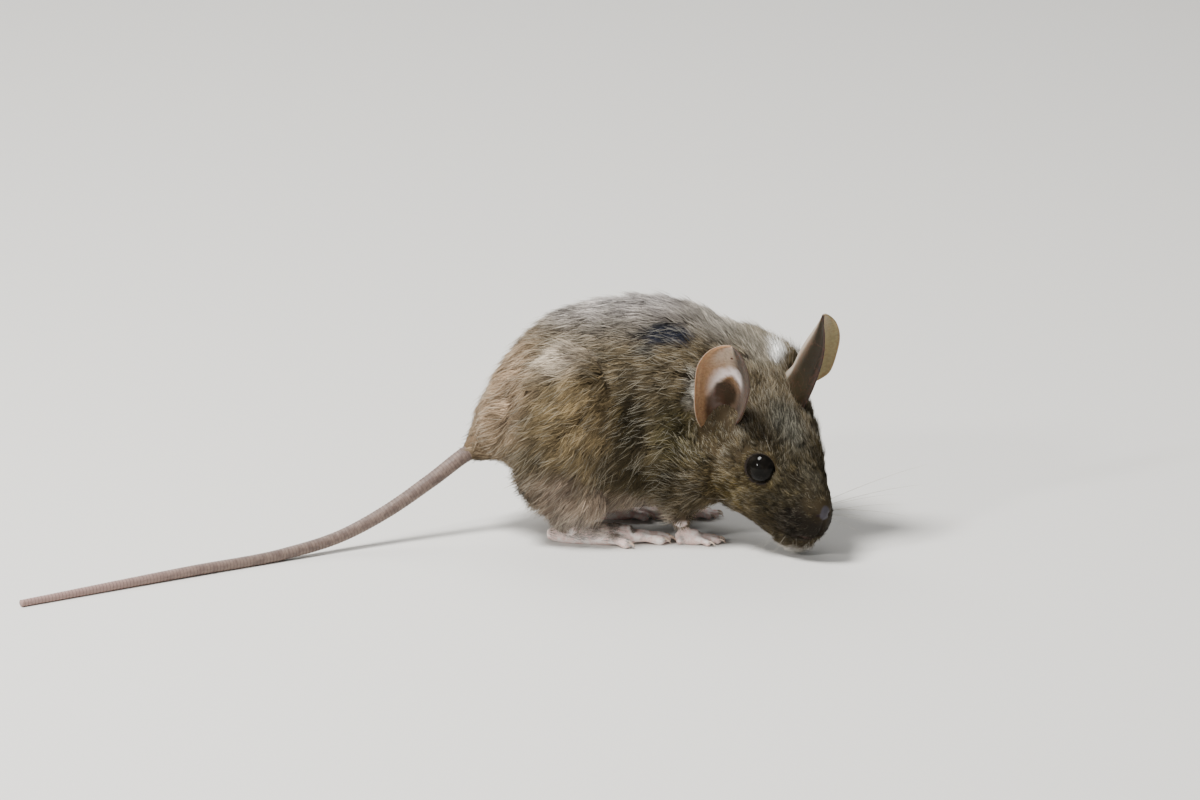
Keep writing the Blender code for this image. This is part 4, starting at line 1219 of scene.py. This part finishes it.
bareTones = {
    # tint of the coat's skin, and the tones of the feet
    "under": (0.45, 0.42, 0.4),
    "flesh": ((0.78, 0.61, 0.56), (0.68, 0.48, 0.44)), "pale": (0.88, 0.82, 0.78),
    # heights and lengths between which the feet's bare skin begins
    "feetTop": (3.0, 2.2), "feetEnd": (17, 15),
    # on the head, as the markings are
    "nose": ((0.05, 0.046, 0.056), (0.3, 0, -0.45), (0.85, 0.75, 1.05), 0.35, 1.0),
    "nostril": ((0.02, 0.012, 0.012), (0.35, 0.74, -0.72), (0.55, 0.3, 0.26), 0.5, 0.9),
    "lip": ((0.1, 0.055, 0.05), (3.4, 1.8, -4.15), (3.6, 2.6, 0.45), 0.6, 0.6),
    "lidRim": ((0.018, 0.013, 0.011), (7.9, 3.9, 1.7), (2.0, 2.0, 2.0), 0.12, 1.0),
}


def skinLook():
    # the skin under the coat: its markings darker, bare pink on the feet, dark on nose and lids
    shade = Shade("skin", Roughness=0.62, Specular_IOR_Level=0.1)
    at = shade.place()
    inFace = shownInHead(shade, at)
    flesh = shade.mix(*bareTones["flesh"], shade.ramp(shade.noise(at, 5.0, 4.0), 0.35, 0.7))
    flesh = shade.mix(flesh, bareTones["pale"], shade.ramp(shade.noise(at, 1.3), 0.4, 0.65) * 0.8)
    onFeet = shade.ramp(shade.part(at, "Z"), *bareTones["feetTop"])
    onFeet = onFeet * shade.ramp(shade.part(at, "X"), *(float(shift[0] + x) for x in bareTones["feetEnd"]))
    colour = shade.mix(shade.times(coatColour(shade, at), bareTones["under"]), flesh, onFeet)
    masks = {}
    for name in ("nose", "nostril", "lip", "lidRim"):
        tint, centre, radii, soft, amount = bareTones[name]
        masks[name] = shade.spot(inFace, centre, radii, soft)
        colour = shade.mix(colour, tint, masks[name] * amount)
    shade.feed("Base Color", colour)
    shade.feed("Roughness", shade.ramp(masks["nose"] + masks["lidRim"], 0.0, 1.0, 0.65, 0.45))
    shade.bump(shade.noise(at, 9.0, 3.0) * 0.6 + shade.noise(at, 24.0) * 0.4, 0.35, 0.12)
    return shade.material


# tones of each ear: its outer face toward the rear, toward the front and at its foot, where the
# outline's pale down ends (place from rear to front), and two tones each of its inner face
earTones = {
    -1: {"backRear": (0.2, 0.14, 0.095), "backFront": (0.13, 0.095, 0.065),
         "backFoot": (0.11, 0.08, 0.05), "downEnd": -0.95,
         "tan": ((0.245, 0.142, 0.074), (0.2, 0.114, 0.06)),
         "upper": ((0.32, 0.245, 0.185), (0.255, 0.19, 0.14))},
    # the far ear's outer face is near black toward its front: painted shade along the crease of its back
    1: {"backRear": (0.15, 0.108, 0.078), "backFront": (0.016, 0.012, 0.007),
        "backFoot": (0.04, 0.03, 0.016), "downEnd": 0.22,
        "tan": ((0.34, 0.28, 0.15), (0.28, 0.23, 0.125)),
        "upper": ((0.34, 0.28, 0.18), (0.28, 0.23, 0.15))},
    "grey": ((0.072, 0.056, 0.046), (0.052, 0.041, 0.033)), "down": (0.46, 0.4, 0.33),
    "sheen": (0.7, 0.62, 0.61), "vein": (0.2, 0.085, 0.06), "rim": (0.045, 0.03, 0.024),
    # inside: colour, centre and radii (from rear to front, and up), and share; shade and throat are
    # painted shade in the ear's hollow, and the hollow is dark with its hairs and painted shade
    "shade": ((0.1, 0.068, 0.048), (0.45, 0.2), (0.62, 0.36), 0.9),
    "hollow": ((0.02, 0.012, 0.006), (-0.06, 0.36), (0.44, 0.17), 0.95),
    "throat": ((0.04, 0.019, 0.01), (-0.34, 0.14), (0.36, 0.26), 0.9),
    "speck": ((0.06, 0.025, 0.02), (0.22, 0.6, 0.16)), "speckUp": 0.83, "speckIn": 0.7,
}


def earDistance(front, height, centre, radii):
    # distance from a place on the ear, measured in the radii of an ellipse round it
    return (((front - centre[0]) / radii[0]) ** 2.0 + ((height - centre[1]) / radii[1]) ** 2.0) ** 0.5


def earSheenBand(shade, front, height):
    # a painted sheen: a pale band that arches over the hollow, from its rear side to low on its front side
    away = earDistance(front, height, (0.1, 0.38), (0.56, 0.25))
    band = shade.ramp(away, 0.6, 0.96) * shade.ramp(away, 1.5, 0.95)
    band = band * shade.ramp(height - front * 0.42, 0.14, 0.36)
    return band * shade.ramp(front, 0.7, 0.4) * shade.ramp(front, -0.65, -0.1, 0.45, 1.0)


def earOutside(shade, tone, front, height):
    # the outer face: two tones from rear to front, the far ear's front one a painted shade along the
    # crease of its back, darker at its foot, with a band of pale down
    colour = shade.mix(tone["backRear"], tone["backFront"], shade.ramp(front, 0.22, 0.58))
    colour = shade.mix(colour, tone["backFoot"], shade.ramp(height, 0.55, 0.15))
    end = tone["downEnd"]
    down = shade.ramp(front, end - 0.35, end - 0.1) * shade.ramp(front, end + 0.16, end)
    return shade.mix(colour, earTones["down"], down * 0.6)


def earInside(shade, tone, at, front, height, grain):
    # the inner face: tan painted where light comes through its rear, greyish toward the front, with a
    # painted sheen arching over the hollow, which is dark with its hairs and painted shade
    patchy = shade.ramp(grain, 0.4, 0.65)
    tan, upper, grey = (shade.mix(*pair, patchy) for pair in (tone["tan"], tone["upper"], earTones["grey"]))
    colour = shade.mix(tan, upper, shade.ramp(height, 0.55, 0.85) * shade.ramp(front, -0.85, -0.4))
    colour = shade.mix(colour, grey, shade.ramp(front, -0.1, 0.35) * shade.ramp(height, 0.4, 0.6))
    waved = height + (shade.noise(at, 0.9) - 0.5) * 0.16

    def spot(colour, key, height):
        tint, centre, radii, amount = earTones[key]
        mask = shade.ramp(earDistance(front, height, centre, radii), 1.12, 0.62)
        return shade.mix(colour, tint, mask * amount)
    # painted shade low toward the front of the hollow
    colour = spot(colour, "shade", height)
    # a pale arch over the hollow: painted sheen
    colour = shade.mix(colour, earTones["sheen"], earSheenBand(shade, front, waved) * 0.9)
    colour = shade.mix(colour, grey, shade.ramp(front, 0.26, 0.5) * 0.9)
    # the hollow and its throat darkened: dark hairs and painted shade
    return spot(spot(colour, "hollow", waved), "throat", waved)


def earLook(side):
    # thin skin: its two faces, a fine dark rim, a speck near the top of one, and faint veins
    shade = Shade("earSkin" + sides[side].capitalize(), Roughness=0.55, Specular_IOR_Level=0.14,
                  Subsurface_Weight=0.15, Subsurface_Scale=0.0006)
    at = shade.place()
    height, front, inside = (shade.attribute(name) for name in ("earHeight", "earFront", "earInside"))
    grain = shade.noise(at, 3.2, 4.0)
    tone = earTones[side]
    colour = shade.mix(earOutside(shade, tone, front, height),
                       earInside(shade, tone, at, front, height, grain), inside)
    colour = shade.mix(colour, earTones["rim"], shade.ramp(front, 0.88, 0.97) * 0.75)
    rise, opens, _, root = earFrame(-1)
    tint, radii = earTones["speck"]
    place = root + rise * ear["height"] * earTones["speckUp"] - opens * earTones["speckIn"] + shift
    colour = shade.mix(colour, tint, shade.spot(at, place, radii, 0.5))
    vein = shade.noise(at, 0.55, 3.0, distortion=0.8) - 0.5
    veins = shade.ramp(vein.maths("ABSOLUTE"), 0.0, 0.03, 1.0, 0.0)
    shade.feed("Base Color", shade.mix(colour, earTones["vein"], veins * 0.1))
    shade.bump(grain * 0.7 + veins * 0.3, 0.3, 0.15)
    return shade.material


tailTones = {"above": ((0.2, 0.145, 0.12), (0.14, 0.1, 0.085)), "tip": (0.36, 0.235, 0.21),
             "ringGap": (0.07, 0.045, 0.036)}


def tailLook():
    # scaly rings, grey-brown and pinkish toward the tip, with darker gaps between them
    shade = Shade("tailSkin", Roughness=0.55, Specular_IOR_Level=0.35)
    at = shade.place()
    along = shade.attribute("along")
    colour = shade.mix(*tailTones["above"], shade.ramp(shade.noise(at, 1.1, 3.0), 0.4, 0.62))
    colour = shade.mix(colour, tailTones["tip"], shade.ramp(along, 0.5, 1.0) * 0.8)
    length = np.linalg.norm(np.diff(np.array(tail["line"]), axis=0), axis=1).sum()
    phase = (along * float(length / tail["ringLength"])).maths("FRACT")
    ringGap = shade.ramp(phase, 0.8, 0.97) + shade.ramp(phase, 0.12, 0.0)
    shade.feed("Base Color", shade.mix(colour, tailTones["ringGap"], ringGap * 0.6))
    shade.bump(shade.node("ShaderNodeTexVoronoi", None, {"Vector": at, "Scale": 3.4}), 0.4, 0.12)
    return shade.material


def mottledLook(name, tones, scale, edges, **constants):
    # one colour that drifts into another with a noise of the given scale
    shade = Shade(name, **constants)
    shade.feed("Base Color", shade.mix(*tones, shade.ramp(shade.noise(shade.place(), scale), *edges)))
    return shade.material


def eyeLook():
    tones = (0.004, 0.0035, 0.003), (0.012, 0.01, 0.008)
    return mottledLook("eye", tones, 0.9, (0.4, 0.7), Roughness=0.04, Specular_IOR_Level=0.08)


def hornLook(name, root, tip):
    return mottledLook(name, (root, tip), 2.5, (0.35, 0.65), Roughness=0.4, Specular_IOR_Level=0.4)


# Building

def buildSkin():
    mesh, points, near = skinMesh()
    body = bpy.data.objects.new("skin", mesh)
    bpy.context.scene.collection.objects.link(body)
    mesh.materials.append(skinLook())
    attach(body, "root")
    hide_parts("head", "neck", "trunk", "hind_leg_right", "hind_leg_left", "foreleg_right",
                "foreleg_left", "hind_foot_right", "hind_foot_left", "forefoot_right", "forefoot_left")
    print("skin:", len(mesh.polygons), "faces")
    return mesh, points, near


def buildCoat(mesh, points, near):
    normals = readNormals(mesh)
    roots = sampleRoots(mesh, points, normals, coatFields(points, normals, near))
    pieces = coatPieces(roots, coatLook())
    print("coat:", sum(len(piece.data.polygons) for piece in pieces), "triangles in", len(pieces), "pieces")


def buildWhiskers(points):
    look = hornLook("whisker", (0.3, 0.27, 0.22), (0.46, 0.43, 0.37))
    whiskers = makePiece("whiskers", whiskerLofts(points), look)
    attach(whiskers, "root")
    print("whiskers:", len(whiskers.data.polygons), "triangles")


def buildBare():
    for side, word in sides.items():
        loft, values = earLoft(side)
        piece = makePiece("ear_skin_" + word, loft, earLook(side), values)
        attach(piece, "root")
        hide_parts("ear_" + word)
        ball = makePiece("eyeball_" + word, eyeLoft(side), eyeLook())
        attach(ball, "root")
        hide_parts("eye_" + word)
    loft, values = tailLoft()
    piece = makePiece("tail_skin", loft, tailLook(), values)
    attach(piece, "root")
    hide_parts("tail_base", "tail_middle", "tail_tip")
    claws = makePiece("claws", clawLofts(), hornLook("claw", (0.62, 0.5, 0.4), (0.45, 0.33, 0.26)))
    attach(claws, "root")
    print("bare parts: ears, eyes, tail and claws")


studio = {
    # lamps: place from the middle of the body and size, in metres, and watts
    "lamps": {"key": ((-0.2, -0.12, 0.48), 0.18, 5.8), "fill": ((-0.3, -0.45, 0.16), 0.4, 0.3),
              "rim": ((-0.12, 0.45, 0.38), 0.35, 1.8), "catch": ((-0.29, -0.28, 0.185), 0.045, 0.9)},
    "lampColour": (1.0, 0.985, 0.96), "middle": (4, 0, 12.0),
    "sky": (0.86, 0.88, 0.9, 1), "skyStrength": 0.24, "floor": (0.72, 0.71, 0.68, 1), "floorReach": 3.0,
}
# the camera faces the right side, a little from above; where it looks is in millimetres from the eye
view = {"down": 14.0, "lens": 160.0, "sensor": 36.0, "distance": 0.593, "rightOfEye": -17.8, "aboveEye": 7.6}


def buildLamps():
    middle = Vector((shift * (1, 1, 0) + studio["middle"]) * mm)
    for name, (place, size, watts) in studio["lamps"].items():
        lamp = bpy.data.lights.new(name, "AREA")
        lamp.shape, lamp.size, lamp.energy = "DISK", size, watts
        lamp.color = studio["lampColour"]
        thing = bpy.data.objects.new(name, lamp)
        bpy.context.scene.collection.objects.link(thing)
        thing.location = Vector(place) + middle
        thing.rotation_euler = (-Vector(place)).to_track_quat("-Z", "Y").to_euler()
    world = bpy.data.worlds.new("studio")
    world.use_nodes = True
    background = world.node_tree.nodes["Background"]
    background.inputs["Color"].default_value = studio["sky"]
    background.inputs["Strength"].default_value = studio["skyStrength"]
    bpy.context.scene.world = world


def buildFloor():
    reach = studio["floorReach"] / mm
    corners = np.array([[-reach, -reach, 0], [reach, -reach, 0], [reach, reach, 0], [-reach, reach, 0]])
    look = Shade("paleFloor", Roughness=0.9, Base_Color=studio["floor"]).material
    floor = makePiece("floor", (corners - shift * (1, 1, 0), np.array([[0, 1, 2], [0, 2, 3]])), look)


def buildCamera():
    down = math.radians(view["down"])
    upward = np.array([0, math.sin(down), math.cos(down)])
    ahead = np.array([0, math.cos(down), -math.sin(down)])
    target = eyeMiddle + np.array([view["rightOfEye"], 0, 0]) * mm + upward * view["aboveEye"] * mm
    camera = bpy.data.objects.new("camera", bpy.data.cameras.new("camera"))
    camera.data.lens, camera.data.sensor_width = view["lens"], view["sensor"]
    camera.data.clip_start = 0.01
    bpy.context.scene.collection.objects.link(camera)
    camera.location = Vector(target - ahead * view["distance"])
    camera.rotation_euler = (math.radians(90 - view["down"]), 0, 0)
    bpy.context.scene.camera = camera


buildLamps()
buildFloor()
buildCamera()
print("stage: floor, lights and camera")
skinShape, skinPoints, skinNear = buildSkin()
buildBare()
buildCoat(skinShape, skinPoints, skinNear)
buildWhiskers(skinPoints)
